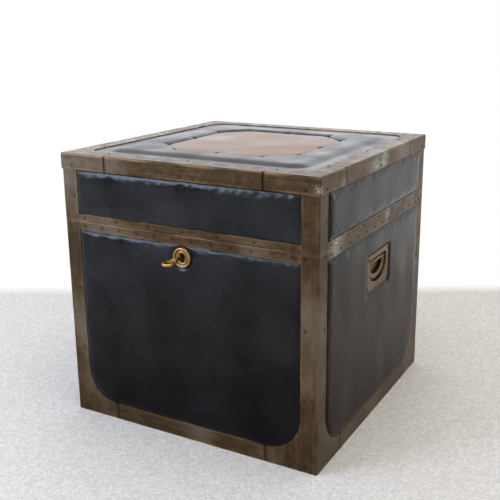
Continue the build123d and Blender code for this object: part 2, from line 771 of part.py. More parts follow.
key_axis = Axis((0, 0, key_height), (0, 1, 0))
profile_plane = Plane(origin=(0, 0, key_height), x_dir=(1, 0, 0), z_dir=(0, 0, -1))
escutcheon_back = half_depth - brass_t
with BuildPart() as escutcheon:
    with BuildSketch(profile_plane):
        with BuildLine():
            Polyline(
                (0, escutcheon_back),
                (escutcheon_radius, escutcheon_back),
                (escutcheon_radius, escutcheon_back + escutcheon_height),
                (escutcheon_radius - escutcheon_rim, escutcheon_back + escutcheon_height),
                (escutcheon_radius - escutcheon_rim, escutcheon_back + escutcheon_floor),
                (0, escutcheon_back + escutcheon_floor),
                close=True,
            )
        make_face()
    revolve(axis=key_axis)
    with BuildSketch(front_plane.offset(escutcheon_back)):
        keyhole(keyhole_fit)
    extrude(amount=escutcheon_height, mode=Mode.SUBTRACT)
escutcheon.part.label = "escutcheon"
export_step(escutcheon.part, "parts/escutcheon.step")

bow_middle = half_depth + bow_out
neck_end = bow_middle - bow_radius
collar_end = neck_end - bow_wire / 2
with BuildPart() as key:
    with BuildSketch(profile_plane):
        with BuildLine():
            Polyline(
                (0, case_back),
                (key_radius, case_back),
                (key_radius, collar_end - collar_t),
                (collar_radius, collar_end - collar_t),
                (collar_radius, collar_end),
                (key_radius, collar_end),
                (key_radius, neck_end),
                (0, neck_end),
                close=True,
            )
        make_face()
    revolve(axis=key_axis)
    for way in (-1, 1):
        with BuildSketch(Plane(origin=(0, -bow_middle, key_height), x_dir=(1, 0, 0), z_dir=(0, 0, way))):
            RegularPolygon(bow_radius + bow_wire / 2, bow_sides)
            RegularPolygon(bow_radius - bow_wire / 2, bow_sides, mode=Mode.SUBTRACT)
        extrude(amount=bow_wire / 2, taper=bow_slope)
    front_block(
        -bit_reach,
        0,
        key_height - bit_t / 2,
        key_height + bit_t / 2,
        lock_middle + bit_length / 2,
        lock_middle - bit_length / 2,
    )
key.part.label = "key"
export_step(key.part, "parts/key.step")

# Nails: flat ones through the brass, domed ones round the medallion
with BuildPart() as body_nails:
    for name, (plane, half_length, reach, between) in sides.items():
        row = seam_height - body_rim_height / 2
        places = [
            (x, row)
            for x in spread(rim_nails, half_length - post_width - nail_margin)
            if name != "back" or abs(abs(x) - hinge_x) > hinge_nail_clear
        ]
        middle = (foot_nail_height + row) / 2
        places += [
            (sx * (half_length - post_nail_inset), middle + z)
            for sx in (-1, 1)
            for z in spread(post_nails, row - middle)
        ]
        add_nails(plane.offset(reach), places)
body_nails.part.label = "body_nails"
export_step(body_nails.part, "parts/body_nails.step")

with BuildPart() as lid_nails:
    for name, (plane, half_length, reach, between) in sides.items():
        row = seam_height + lid_rim_height / 2
        places = [
            (x, row)
            for x in spread(lid_rim_nails, half_length - post_width - nail_margin)
            if name != "back" or abs(abs(x) - hinge_x) > hinge_nail_clear
        ]
        row = (seam_height + trunk_height - cap_side) / 2
        places += [(sx * (half_length - post_nail_inset), row) for sx in (-1, 1)]
        add_nails(plane.offset(reach), places)
        row = trunk_height - cap_side + cap_nail_rise
        add_nails(plane.offset(reach + cap_t), [(x, row) for x in spread(3, half_length - post_nail_inset)])
        row = cap_top - top_nail_inset - cap_t - reach
        add_nails(plan_plane(plane, trunk_height), [(x, row) for x in spread(3, top_nail_spacing)])
lid_nails.part.label = "lid_nails"
export_step(lid_nails.part, "parts/lid_nails.step")

with BuildPart() as medallion_nails:
    # Three along each long side, where the outer two are also the ends of the short sides.
    along = (-medallion_corner, 0, medallion_corner)
    ring = [(s * medallion_half, y) for s in (-1, 1) for y in along]
    ring += [(x, s * medallion_half) for s in (-1, 1) for x in along]
    with BuildSketch(Plane.XY.offset(medallion_edge)):
        with Locations(*ring):
            RegularPolygon(dome_head, 6)
    extrude(amount=dome_height, taper=45)
    with BuildSketch(Plane.XY.offset(medallion_edge)):
        with Locations(*ring):
            Rectangle(dome_shank, dome_shank)
    extrude(amount=-dome_length)
medallion_nails.part.label = "medallion_nails"
export_step(medallion_nails.part, "parts/medallion_nails.step")
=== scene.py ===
import json
import math

import bmesh
import bpy
import numpy as np
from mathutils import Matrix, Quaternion, Vector


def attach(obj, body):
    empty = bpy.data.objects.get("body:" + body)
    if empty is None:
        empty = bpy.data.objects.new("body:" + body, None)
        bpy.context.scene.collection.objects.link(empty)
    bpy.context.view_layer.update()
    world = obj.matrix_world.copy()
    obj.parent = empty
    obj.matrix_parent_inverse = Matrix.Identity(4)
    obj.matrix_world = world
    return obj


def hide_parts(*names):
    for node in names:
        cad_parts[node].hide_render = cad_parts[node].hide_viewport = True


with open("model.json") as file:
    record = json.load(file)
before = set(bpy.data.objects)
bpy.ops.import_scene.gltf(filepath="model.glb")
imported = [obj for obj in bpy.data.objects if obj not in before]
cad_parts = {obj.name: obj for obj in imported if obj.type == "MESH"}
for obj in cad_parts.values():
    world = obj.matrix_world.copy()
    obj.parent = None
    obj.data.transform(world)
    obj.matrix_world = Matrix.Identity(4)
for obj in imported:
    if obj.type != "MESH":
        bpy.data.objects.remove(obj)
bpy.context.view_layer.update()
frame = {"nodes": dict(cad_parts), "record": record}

mm = 0.001
sideNames = ["front", "right", "back", "left"]

# Millimetres, as in the CAD model, which is centred on the origin and stands on the floor.
trunk = {
    "half": 228.0,
    "height": 450.0,
    "seam": 340.0,
    "wall": 15.5,
    "brass": 1.0,
    "leather": 1.5,
    "post": 28.0,
    "foot": 57.0,
    "footRun": 2.0,
    "base": 28.0,
    "bodyRim": 15.0,
    "lidRim": 12.0,
    "gap": 0.6,
    "cap": 1.5,
    "capSide": 26.0,
    "capTop": 30.0,
    "capLeg": 88.0,
    "capCorner": 28.0,
    "capGap": 1.2,
    "hinge": 128.0,
    "hingeHalf": 25.3,
}


def hexColour(code):
    # sRGB to linear: a straight line near black, then a power curve of 2.4.
    parts = np.array([int(code[i : i + 2], 16) for i in (1, 3, 5)]) / 255
    linear = np.where(parts <= 0.04045, parts / 12.92, ((parts + 0.055) / 1.055) ** 2.4)
    return (*[float(value) for value in linear], 1.0)


def addNode(material, kind, settings):
    # Lower-case settings are the node's own properties, the others its inputs by name or number. A node
    # given as a value is linked through its first output in use.
    node = material.node_tree.nodes.new("ShaderNode" + kind)
    for key, value in settings.items():
        if key == "ramp":
            # A new ramp has two stops already.
            stops = node.color_ramp.elements
            for i, (place, code) in enumerate(value):
                stop = stops[i] if i < 2 else stops.new(place)
                stop.position, stop.color = place, hexColour(code)
        elif str(key)[0].islower():
            setattr(node, key, value)
    for key in [key for key in settings if not str(key)[0].islower()]:
        named = [s for s in node.inputs if s.enabled and s.name == key]
        socket, value = (named or [node.inputs[key]])[0], settings[key]
        if isinstance(value, bpy.types.Node):
            value = [output for output in value.outputs if output.enabled][0]
        if isinstance(value, bpy.types.NodeSocket):
            material.node_tree.links.new(value, socket)
        else:
            socket.default_value = value
    return node


def newMaterial(name):
    # An empty material and the object coordinates, from which every pattern starts.
    material = bpy.data.materials.new(name)
    material.use_nodes = True
    material.node_tree.nodes.clear()
    return material, addNode(material, "TexCoord", {}).outputs["Object"]


def closeMaterial(material, shader):
    surface = addNode(material, "BsdfPrincipled", shader)
    addNode(material, "OutputMaterial", {"Surface": surface})
    return material


# Materials. Noise sizes are real millimetres, and a scale is 1000 divided by the size. A pair of numbers
# is the range of a pattern that makes a finish grow from nothing to its full share.
brass = {
    "patch": 120.0,
    "mottle": 13.0,
    "streak": 4.0,
    "streakLength": 60.0,
    "speck": 1.8,
    "dent": 22.0,
    "aged": [(0.36, "#3a2b1b"), (0.46, "#4b3a26"), (0.54, "#5c4830"), (0.66, "#745b3c")],
    "cast": [(0.36, "#4c3d29"), (0.5, "#6c583f"), (0.64, "#927753")],
    "polished": [(0.36, "#94713f"), (0.5, "#be965e"), (0.64, "#e2c08c")],
    "nail": [(0.36, "#1d1712"), (0.5, "#33281e"), (0.64, "#54432f")],
    "steel": [(0.36, "#5a5a5a"), (0.5, "#7c7b78"), (0.64, "#979590")],
    "uprightTone": -0.03,
    "film": "#7c7368",
    "filmRange": (0.48, 0.75),
    "dampFilm": 0.5,
    "verdigris": "#b4c2b0",
    "verdigrisRange": (0.97, 1.04),
    "worn": "#a8865a",
    "wornRange": (0.42, 0.68),
    "wornShare": 0.4,
    # Colour of soot, and of painted shade in dents, grooves and hollows
    "sootAndShade": "#1a1410",
    "sootAndShadeRange": (0.3, 0.6),
    "roughRange": (0.35, 0.7),
}


def brassMaterial(name, colours, age, shine, relief):
    # Rolled sheet brass, years old: brown tarnish in patches and streaks, grey film, green bloom where it
    # was damp, worn bright along its edges and sooty round the nails. The soot mark also carries painted
    # shade: in the dents round the nails and in the hollows of the handles, lock plate and key. Younger
    # metal has less of each.
    s = brass
    m, place = newMaterial(name)
    marks = [addNode(m, "Attribute", {"attribute_name": k}) for k in ("upright", "wear", "sootAndShade", "damp")]
    upright, wear, sootAndShade, damp = [mark.outputs["Fac"] for mark in marks]
    # Streaks follow the rolling: level on the strips, upright on the posts.
    thin = s["streak"] / s["streakLength"]
    streaks = []
    for scale in ((thin, thin, 1), (1, 1, thin)):
        drawn = addNode(m, "Mapping", {"Vector": place, "Scale": scale})
        settings = {"Vector": drawn, "Scale": 1000 / s["streak"], "Detail": 4.0}
        streaks.append(addNode(m, "TexNoise", settings))
    streaks = addNode(m, "Mix", {"Factor": upright, "A": streaks[0], "B": streaks[1]})
    noises = []
    for key, detail, rough in (("patch", 5, 0.5), ("mottle", 6, 0.7), ("speck", 2, 0.5), ("dent", 2, 0.5)):
        settings = {"Vector": place, "Scale": 1000 / s[key], "Detail": detail, "Roughness": rough}
        noises.append(addNode(m, "TexNoise", settings))
    patch, mottle, speck, dent = noises
    # Tone is 40 % patches, 30 % mottle and 30 % streaks, and a little darker on upright sheets.
    tone = 0.0
    for part, share in ((patch, 0.4), (mottle, 0.3), (streaks, 0.3), (upright, s["uprightTone"])):
        tone = addNode(m, "Math", {"operation": "MULTIPLY_ADD", 0: part, 1: share, 2: tone})
    colour = addNode(m, "ValToRGB", {"ramp": colours, 0: tone})
    # Each finish grows over the range of its pattern, from the first share to the second.
    dots = addNode(m, "Math", {"operation": "MULTIPLY_ADD", 0: mottle, 1: 0.9, 2: speck})
    shares = {"film": (patch, 0.0, age), "verdigris": (dots, 0.0, 1.0), "sootAndShade": (mottle, 0.5, 1.0)}
    shares |= {"worn": (streaks, 0.0, s["wornShare"]), "rough": (mottle, shine, shine + 0.2)}
    grown = {}
    for key, (pattern, least, most) in shares.items():
        low, high = s[f"{key}Range"]
        settings = {"Value": pattern, "From Min": low, "From Max": high, "To Min": least, "To Max": most}
        grown[key] = addNode(m, "MapRange", settings)
    settings = {"operation": "MULTIPLY_ADD", "use_clamp": True, 0: damp, 1: s["dampFilm"], 2: grown["film"]}
    grown["film"] = addNode(m, "Math", settings)
    # Soot and painted shade darken the colour through the same mark.
    for key, mark in (("verdigris", damp), ("worn", wear), ("sootAndShade", sootAndShade)):
        grown[key] = addNode(m, "Math", {"operation": "MULTIPLY", 0: mark, 1: grown[key]})
    for key in ("film", "verdigris", "worn", "sootAndShade"):
        settings = {"data_type": "RGBA", "Factor": grown[key], "A": colour, "B": hexColour(s[key])}
        colour = addNode(m, "Mix", settings)
    rough = addNode(m, "Math", {"operation": "MULTIPLY_ADD", 0: streaks, 1: 0.12, 2: grown["rough"]})
    # Dents, with a little of the streaks and specks on them.
    height = dent
    for part, share in ((streaks, 0.15), (speck, 0.05)):
        height = addNode(m, "Math", {"operation": "MULTIPLY_ADD", 0: part, 1: share, 2: height})
    bump = addNode(m, "Bump", {"Height": height, "Strength": 0.6, "Distance": relief * mm})
    return closeMaterial(m, {"Base Color": colour, "Metallic": 0.85, "Roughness": rough, "Normal": bump})


leather = {
    "tone": 80.0,
    "toneRange": (0.35, 0.65),
    "pebble": 1.4,
    "crease": 24.0,
    "black": [(0.35, "#070708"), (0.65, "#100f13")],
    "brown": [(0.35, "#57402f"), (0.65, "#7f6049")],
    "cloud": (0.75, 1.15),
    "dryBelow": 0.02,
    "waxedAbove": 0.36,
    "scuffRange": (0.43, 0.447),
    "scuffed": 0.08,
    # The right side: how far a face turns right, its drier finish, and the painted warm light low down on
    # it
    "rightRange": (0.5, 0.9),
    "dried": 0.78,
    "paintedWarmFrom": 0.3,
    "paintedWarmTo": 0.23,
    "paintedWarmHide": "#2e2018",
    "paintedWarmShine": "#d08a4c",
}


def leatherMaterial(name, colours, rough, gloss):
    # Hide finished with a waxed top coat: fine pebbled grain, soft creases and a glossy, uneven shine.
    s = leather
    m, place = newMaterial(name)
    low, high = s["toneRange"]
    tone = addNode(m, "TexNoise", {"Vector": place, "Scale": 1000 / s["tone"], "Detail": 6.0})
    colour = addNode(m, "ValToRGB", {"ramp": colours, 0: tone})
    settings = {"feature": "SMOOTH_F1", "Vector": place, "Scale": 1000 / s["pebble"]}
    pebble = addNode(m, "TexVoronoi", settings)
    settings = {"Vector": place, "Scale": 1000 / s["crease"], "Detail": 5.0, "Roughness": 0.55}
    crease = addNode(m, "TexNoise", settings)
    height = addNode(m, "Math", {"operation": "MULTIPLY_ADD", 0: pebble, 1: 0.12, 2: crease})
    bump = addNode(m, "Bump", {"Height": height, "Strength": 0.22, "Distance": 1.0 * mm})
    # The finish is dull near the floor and waxed higher up, where cloths and hands reach (metres).
    up = addNode(m, "SeparateXYZ", {0: place}).outputs["Z"]
    settings = {"Value": up, "From Min": s["dryBelow"], "From Max": s["waxedAbove"]}
    wax = addNode(m, "MapRange", {**settings, "To Min": gloss / 4, "To Max": gloss})
    thin, thick = s["cloud"]
    settings = {"Value": tone, "From Min": low, "From Max": high}
    cloud = addNode(m, "MapRange", {**settings, "To Min": thin, "To Max": thick})
    wax = addNode(m, "Math", {"operation": "MULTIPLY", 0: wax, 1: cloud})
    # Dust and scuffs take the shine off whatever lies flat on top.
    shine = addNode(m, "MapRange", {**settings, "To Min": rough - 0.06, "To Max": rough + 0.1})
    low, high = s["scuffRange"]
    settings = {"Value": up, "From Min": low, "From Max": high, "To Max": s["scuffed"]}
    scuffed = addNode(m, "MapRange", settings)
    shine = addNode(m, "Math", {"operation": "ADD", 0: shine, 1: scuffed})
    # Daylight has dried the finish on the right side. Low down on that side warm light is painted in: the
    # shine is tinted brown, a painted warm reflection, and the hide turns brown in patches, a painted warm
    # cast.
    low, high = s["rightRange"]
    normal = addNode(m, "TexCoord", {}).outputs["Normal"]
    right = addNode(m, "SeparateXYZ", {0: normal}).outputs["X"]
    right = addNode(m, "MapRange", {"Value": right, "From Min": low, "From Max": high})
    lower = addNode(m, "MapRange", {"Value": up, "From Min": s["paintedWarmFrom"], "From Max": s["paintedWarmTo"]})
    paintedWarmLight = addNode(m, "Math", {"operation": "MULTIPLY", 0: right, 1: lower})
    # Painted warm reflection: the shine turns brown there.
    settings = {"data_type": "RGBA", "Factor": paintedWarmLight, "A": (1, 1, 1, 1), "B": hexColour(s["paintedWarmShine"])}
    tint = addNode(m, "Mix", settings)
    # Painted warm cast: the hide's colour turns brown in patches.
    patchy = addNode(m, "Math", {"operation": "MULTIPLY", 0: paintedWarmLight, 1: tone})
    settings = {"data_type": "RGBA", "Factor": patchy, "A": colour, "B": hexColour(s["paintedWarmHide"])}
    colour = addNode(m, "Mix", settings)
    dried = addNode(m, "MapRange", {"Value": right, "To Min": 1.0, "To Max": s["dried"]})
    wax = addNode(m, "Math", {"operation": "MULTIPLY", 0: wax, 1: dried})
    shader = {"Base Color": colour, "Roughness": shine, "Normal": bump}
    return closeMaterial(m, {**shader, "Specular IOR Level": wax, "Specular Tint": tint})


wood = {
    "grain": 3.0,
    "grainLength": 90.0,
    "colours": [(0.35, "#7d5a38"), (0.5, "#9c7449"), (0.65, "#b58e60")],
}


def woodMaterial(name):
    # Plain deal boards, planed and left bare. Their grain runs level: along Y on faces that look along X,
    # and along X on all others.
    s = wood
    m, place = newMaterial(name)
    thin = s["grain"] / s["grainLength"]
    alongX = addNode(m, "Mapping", {"Vector": place, "Scale": (thin, 1, 1)})
    alongY = addNode(m, "Mapping", {"Vector": place, "Scale": (1, thin, 1)})
    normal = addNode(m, "TexCoord", {}).outputs["Normal"]
    looks = addNode(m, "SeparateXYZ", {0: normal}).outputs["X"]
    looks = addNode(m, "Math", {"operation": "ABSOLUTE", 0: looks})
    looks = addNode(m, "Math", {"operation": "GREATER_THAN", 0: looks, 1: 0.7})
    along = addNode(m, "Mix", {"data_type": "VECTOR", "Factor": looks, "A": alongX, "B": alongY})
    settings = {"Vector": along, "Scale": 1000 / s["grain"], "Detail": 5.0, "Distortion": 0.4}
    grain = addNode(m, "TexNoise", settings)
    colour = addNode(m, "ValToRGB", {"ramp": s["colours"], 0: grain})
    bump = addNode(m, "Bump", {"Height": grain, "Strength": 0.3, "Distance": 0.4 * mm})
    return closeMaterial(m, {"Base Color": colour, "Roughness": 0.6, "Normal": bump})


castBrass = brassMaterial("castBrass", brass["cast"], 0.25, 0.26, 0.4)
slotMaterials = {
    "wood": woodMaterial("planedDeal"),
    "black_leather": leatherMaterial("blackWaxedHide", leather["black"], 0.25, 0.31),
    "brown_leather": leatherMaterial("brownWaxedHide", leather["brown"], 0.28, 0.34),
    "aged_brass": brassMaterial("agedBrassSheet", brass["aged"], 0.6, 0.28, 0.9),
    "handle_brass": castBrass,
    "hinge_brass": castBrass,
    "bright_brass": brassMaterial("polishedBrass", brass["polished"], 0.0, 0.16, 0.2),
    "dark_nail": brassMaterial("bronzedNail", brass["nail"], 0.1, 0.26, 0.2),
    "lock_steel": brassMaterial("dullSteel", brass["steel"], 0.1, 0.32, 0.3),
}
for part in frame["record"]["subparts"]:
    mesh = frame["nodes"][part["node"]].data
    mesh.materials.clear()
    mesh.materials.append(slotMaterials[part["material_slot"]])
print("materials made")


def newObject(name, data):
    piece = bpy.data.objects.new(name, data)
    bpy.context.scene.collection.objects.link(piece)
    return piece


def finishPiece(name, shells, slot, body, replaced, marks=None, sharp=40):
    # Closed shells in millimetres become one object at the origin: doubled points are merged, faces
    # turned outwards and marks kept as attributes of the points.
    starts = np.cumsum([0] + [len(points) for points, faces in shells])
    points = np.concatenate([points for points, faces in shells])
    faces = np.concatenate([faces + start for (each, faces), start in zip(shells, starts)])
    mesh = bpy.data.meshes.new(name)
    mesh.from_pydata((points * mm).tolist(), [], faces.tolist())
    for key, values in (marks(points) if marks else {}).items():
        mesh.attributes.new(key, "FLOAT", "POINT").data.foreach_set("value", values.astype(np.float32))
    work = bmesh.new()
    work.from_mesh(mesh)
    bmesh.ops.remove_doubles(work, verts=work.verts, dist=1e-7)
    bmesh.ops.recalc_face_normals(work, faces=work.faces)
    work.to_mesh(mesh)
    work.free()
    mesh.polygons.foreach_set("use_smooth", [True] * len(mesh.polygons))
    mesh.set_sharp_from_angle(angle=math.radians(sharp))
    mesh.materials.append(slotMaterials[slot])
    piece = newObject(name, mesh)
    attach(piece, body)
    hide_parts(*replaced)
    return piece


def shell(front, back, keep=None, around=False):
    # Two grids of points joined into one closed skin: the front as it is, the back turned round, and a
    # wall along each edge of a kept cell that has no kept neighbour.
    rows, columns = front.shape[:2]
    count = rows * columns
    index = np.arange(count).reshape(rows, columns)
    if around:
        index = np.vstack([index, index[:1]])
    if keep is None:
        keep = np.ones((len(index) - 1, columns - 1), bool)
    corner = [index[:-1, :-1], index[1:, :-1], index[1:, 1:], index[:-1, 1:]]
    top = np.stack([c[keep] for c in corner], -1)
    faces = [top, top[:, ::-1] + count]
    padded = np.pad(keep, 1)
    if around:
        padded[0], padded[-1] = padded[-2], padded[1]
    beside = [padded[1:-1, :-2], padded[2:, 1:-1], padded[1:-1, 2:], padded[:-2, 1:-1]]
    for k in range(4):
        edge = keep & ~beside[k]
        p, q = corner[k][edge], corner[(k + 1) % 4][edge]
        faces.append(np.stack([q, p, p + count, q + count], -1))
    return np.concatenate([front.reshape(-1, 3), back.reshape(-1, 3)]), np.concatenate(faces)


def turned(x, y, z, quarter):
    # Points given for the front of the trunk, turned about its middle by quarter turns to another side.
    turn = math.radians(90) * quarter
    x, y = x * math.cos(turn) - y * math.sin(turn), x * math.sin(turn) + y * math.cos(turn)
    return np.stack([x, y, z + 0 * x], -1)


def onSide(side, along, out, height):
    # A point on a side of the trunk: along it to the right, out from the trunk's middle, and up.
    return turned(along, -out, height, side)


def lines(*stops):
    # Grid lines from each stop to the next, at most the given step apart: (start, step, stop, step, ...).
    parts = []
    for start, step, stop in zip(stops[0::2], stops[1::2], stops[2::2]):
        parts.append(np.linspace(start, stop, max(1, math.ceil(abs(stop - start) / step)) + 1)[:-1])
    return np.concatenate(parts + [[stops[-1]]])


def roundSkin(points):
    # A grid of points with its faces: the last axis but one runs round the shape and closes, and the last
    # one runs along it.
    index = np.arange(points.size // 3).reshape(points.shape[:-1])
    beside = np.roll(index, -1, axis=-2)
    faces = np.stack([index[..., :-1], beside[..., :-1], beside[..., 1:], index[..., 1:]], -1)
    return points.reshape(-1, 3), faces.reshape(-1, 4)


def waves(x, y, size, seed):
    # Smooth unevenness of about -1 to 1: twelve sine waves of about the given length, in random directions.
    rng = np.random.default_rng(seed)
    turn = rng.uniform(0, 2 * math.pi, 12)
    length = size * rng.uniform(0.7, 1.6, 12)
    start = rng.uniform(0, 2 * math.pi, 12)
    total = 0
    for angle, wave, phase in zip(turn, length, start):
        total = total + np.sin(2 * math.pi * (x * math.cos(angle) + y * math.sin(angle)) / wave + phase)
    return total / 5


def roundedBox(x, y, halfX, halfY, radius):
    # Distance to a rounded rectangle's edge, negative inside it.
    dx = np.abs(x) - halfX + radius
    dy = np.abs(y) - halfY + radius
    outside = np.hypot(np.maximum(dx, 0), np.maximum(dy, 0))
    return outside + np.minimum(np.maximum(dx, dy), 0) - radius


def bulge(distance, reach):
    # A quarter of an ellipse: 0 at the edge, steep at first, 1 from the given reach inwards.
    return np.sqrt(1 - (1 - np.clip(distance / reach, 0, 1)) ** 2)


# Nails: where they are, as points on the metal's face with their outward directions
nails = {
    "radius": 1.9,
    "rise": 1.0,
    "stud": 4.6,
    "studRise": 2.6,
    "studSunk": 0.6,
    "segments": 12,
    "bodyRow": 12,
    "lidRow": 7,
    "postRow": 4,
    "margin": 12.0,
    "postInset": 21.0,
    "hingeClear": 28.4,
    "footHeight": 10.0,
    "capRise": 6.0,
    "topInset": 5.0,
    "topSpacing": 150.0,
    # How far the dark halo round a nail reaches: soot and painted shade of its dent
    "sootAndShadeReach": 2.7,
    "dent": 0.35,
    "dentReach": 4.5,
}


def nailRow(side, along, out, height, flat=False):
    # Places, then two directions across the head, then outwards. A flat row lies on the top.
    along, out, height = np.broadcast_arrays(*(np.array(each, float) for each in (along, out, height)))
    place = onSide(side, along, out, height)
    right = onSide(side, along + 1, out, height) - place
    away = onSide(side, along, out + 1, height) - place
    up = place * 0 + (0, 0, 1)
    return np.stack([place, right, away, up] if flat else [place, right, up, away])


def nailPlaces():
    s, t = nails, trunk
    bodyRows, lidRows = [], []
    between = t["half"] - t["post"] - s["margin"]
    postPlace = t["half"] - s["postInset"]
    rim = t["seam"] - t["bodyRim"] / 2
    column = np.linspace(s["footHeight"], rim, s["postRow"])
    for side in range(4):
        rows = [np.linspace(-between, between, s["bodyRow"]), np.linspace(-between, between, s["lidRow"])]
        if side == 2:
            rows = [row[np.abs(np.abs(row) - t["hinge"]) > s["hingeClear"]] for row in rows]
        bodyRows.append(nailRow(side, rows[0], t["half"], rim))
        bodyRows += [nailRow(side, way * postPlace, t["half"], column) for way in (-1, 1)]
        lidRows.append(nailRow(side, rows[1], t["half"], t["seam"] + t["lidRim"] / 2))
        middle = (t["seam"] + t["height"] - t["capSide"]) / 2
        lidRows.append(nailRow(side, [-postPlace, postPlace], t["half"], middle))
        face = t["half"] + t["cap"]
        capRow = t["height"] - t["capSide"] + s["capRise"]
        lidRows.append(nailRow(side, [-postPlace, 0, postPlace], face, capRow))
        inner = face - t["capTop"] + s["topInset"]
        lidRows.append(nailRow(side, np.array([-1, 0, 1]) * s["topSpacing"], inner, t["height"], True))
    return np.concatenate(bodyRows, 1), np.concatenate(lidRows, 1)


bodyNails, lidNails = nailPlaces()


def nailDistance(points, rows):
    # From every point to the nearest nail.
    return np.sqrt(((points[:, None, :] - rows[0][None, :, :]) ** 2).sum(-1).min(1))


def domes(rows, radius, rise):
    # Heads as turned shapes: rings of a low dome from the pole to the rim, then a flat under side.
    place, right, up, away = rows[:, :, None, None, :]
    steps = np.array([0.0, 0.35, 0.62, 0.85, 0.97, 1.0, 0.9, 0.0])[None, None, :, None] * radius
    lift = np.array([1.0, 0.93, 0.76, 0.48, 0.2, 0.0, -0.25, -0.25])[None, None, :, None] * rise
    turn = np.linspace(0, 2 * math.pi, nails["segments"], endpoint=False)[None, :, None, None]
    points = place + (np.cos(turn) * right + np.sin(turn) * up) * steps + away * lift
    return roundSkin(points)


# Side panels of padded leather
panels = {
    "rise": 3.6,
    "inset": 0.6,
    "reach": 15.0,
    "reachWave": 0.3,
    "reachWaveSize": 40.0,
    "wave": 0.45,
    "waveSize": 95.0,
    "pucker": 0.55,
    "puckerSize": 19.0,
    "puckerInset": 6.0,
    "puckerReach": 10.0,
    "cupHalf": (41.8, 24.8),
    "handleHeight": 257.5,
    "plateHalf": (49.5, 31.5),
    "keyHeight": 306.0,
    "keyClear": 17.5,
    "hingeUp": 30.5,
    "clearReach": 8.0,
    # The keyhole's half width, and how far it goes down and up from the key
    "hole": (4.0, -10.0, 4.0),
    "holeBand": 24.0,
    # How wide the closer grid is at the posts, at the bottom and at the top
    "edgeBands": (26.0, 24.0, 16.0),
    "hiddenStep": 6.0,
    "edgeStep": 1.2,
    "fieldStep": 4.0,
    "plateStep": 2.5,
    "holeStep": 2.0,
}


def sidePanel(group, side):
    # Out = flat leather + (rise + waves + puckers) * bulge of the distance to the nearest brass edge.
    s, t = panels, trunk
    body = group == "body"
    low, high = (0.0, t["seam"] - t["brass"]) if body else (t["seam"] + t["brass"], t["height"] - 3.0)
    fieldLow = t["base"] if body else t["seam"] + t["lidRim"]
    fieldHigh = t["seam"] - t["bodyRim"] if body else t["height"] - t["capSide"]
    end = t["half"] - t["brass"] - (side % 2) * t["leather"]
    field = t["half"] - t["post"]
    hasCup = body and side % 2 == 1
    hasKey = body and side == 0
    plateX, plateZ, cupX, cupZ, middle = *s["plateHalf"], *s["cupHalf"], s["handleHeight"]
    holeHalf, holeLow, holeHigh = s["hole"]
    # Grid lines lie close at the brass edges, and one runs along each edge of the cup and the keyhole.
    hidden, close, wide, plate, hole = [s[f"{k}Step"] for k in ("hidden", "edge", "field", "plate", "hole")]
    sideBand, lowBand, highBand = s["edgeBands"]
    alongStops = [-end, hidden, -field, close, sideBand - field, wide]
    upStops = [low, hidden, fieldLow, close, fieldLow + lowBand, wide]
    if hasCup:
        alongStops += [-plateX, plate, -cupX, hidden, cupX, plate, plateX, wide]
        upStops += [middle - plateZ, plate, middle - cupZ, hidden, middle + cupZ, plate, middle + plateZ, 3]
    elif hasKey:
        alongStops += [-s["holeBand"], hole, -holeHalf, hole, holeHalf, hole, s["holeBand"], wide]
        for edge in (-s["holeBand"], holeLow, holeHigh):
            upStops += [s["keyHeight"] + edge, hole]
    alongStops += [field - sideBand, close, field, hidden, end]
    upStops += [fieldHigh - highBand, 1.0, fieldHigh, wide, high]
    along, up = np.meshgrid(lines(*alongStops), lines(*upStops), indexing="ij")
    halfUp = (fieldHigh - fieldLow) / 2
    radius = np.where((up < fieldLow + halfUp) & body, t["foot"], 3.0)
    inside = -roundedBox(along, up - fieldLow - halfUp, field, halfUp, radius) - s["inset"]
    seed = 10 + side + 4 * (not body)
    pucker = waves(along + up, along - up, s["puckerSize"], seed) * s["pucker"] * (0.5 if side % 2 else 1)
    pucker = pucker * np.exp(-np.abs(inside - s["puckerInset"]) / s["puckerReach"])
    swell = s["rise"] + waves(along, up, s["waveSize"], seed + 20) * s["wave"] + pucker
    reach = s["reach"] * (1 + s["reachWave"] * waves(along, up, s["reachWaveSize"], seed + 40))
    swell = swell * bulge(inside, reach)
    # Flat under the handle plate, the escutcheon and the hinge leaves.
    clear = None
    if hasCup:
        clear = roundedBox(along, up - middle, plateX, plateZ, 3)
    elif hasKey:
        clear = np.hypot(along, up - s["keyHeight"]) - s["keyClear"]
    elif side == 2:
        clear = roundedBox(np.abs(along) - t["hinge"], up - t["seam"], t["hingeHalf"], s["hingeUp"], 2)
    if clear is not None:
        swell = swell * bulge(clear, s["clearReach"])
    face = t["half"] - t["brass"]
    front = onSide(side, along, face + swell, up)
    back = onSide(side, along, face - t["leather"], up)
    midAlong = (along[:-1, :-1] + along[1:, 1:]) / 2
    midUp = (up[:-1, :-1] + up[1:, 1:]) / 2
    keep = np.ones(midAlong.shape, bool)
    if hasCup:
        keep = (np.abs(midAlong) > cupX) | (np.abs(midUp - middle) > cupZ)
    if hasKey:
        keep = (midUp > s["keyHeight"] + holeHigh) | (midUp < s["keyHeight"] + holeLow)
        keep = keep | (np.abs(midAlong) > holeHalf)
    node = f"{sideNames[side]}_leather" if body else f"lid_{sideNames[side]}_leather"
    skin = shell(front, back, keep)
    piece = finishPiece(f"{node}_padded", [skin], "black_leather", "trunk_body" if body else "lid", [node])


for side in range(4):
    sidePanel("body", side)
    sidePanel("lid", side)
print("side panels made")

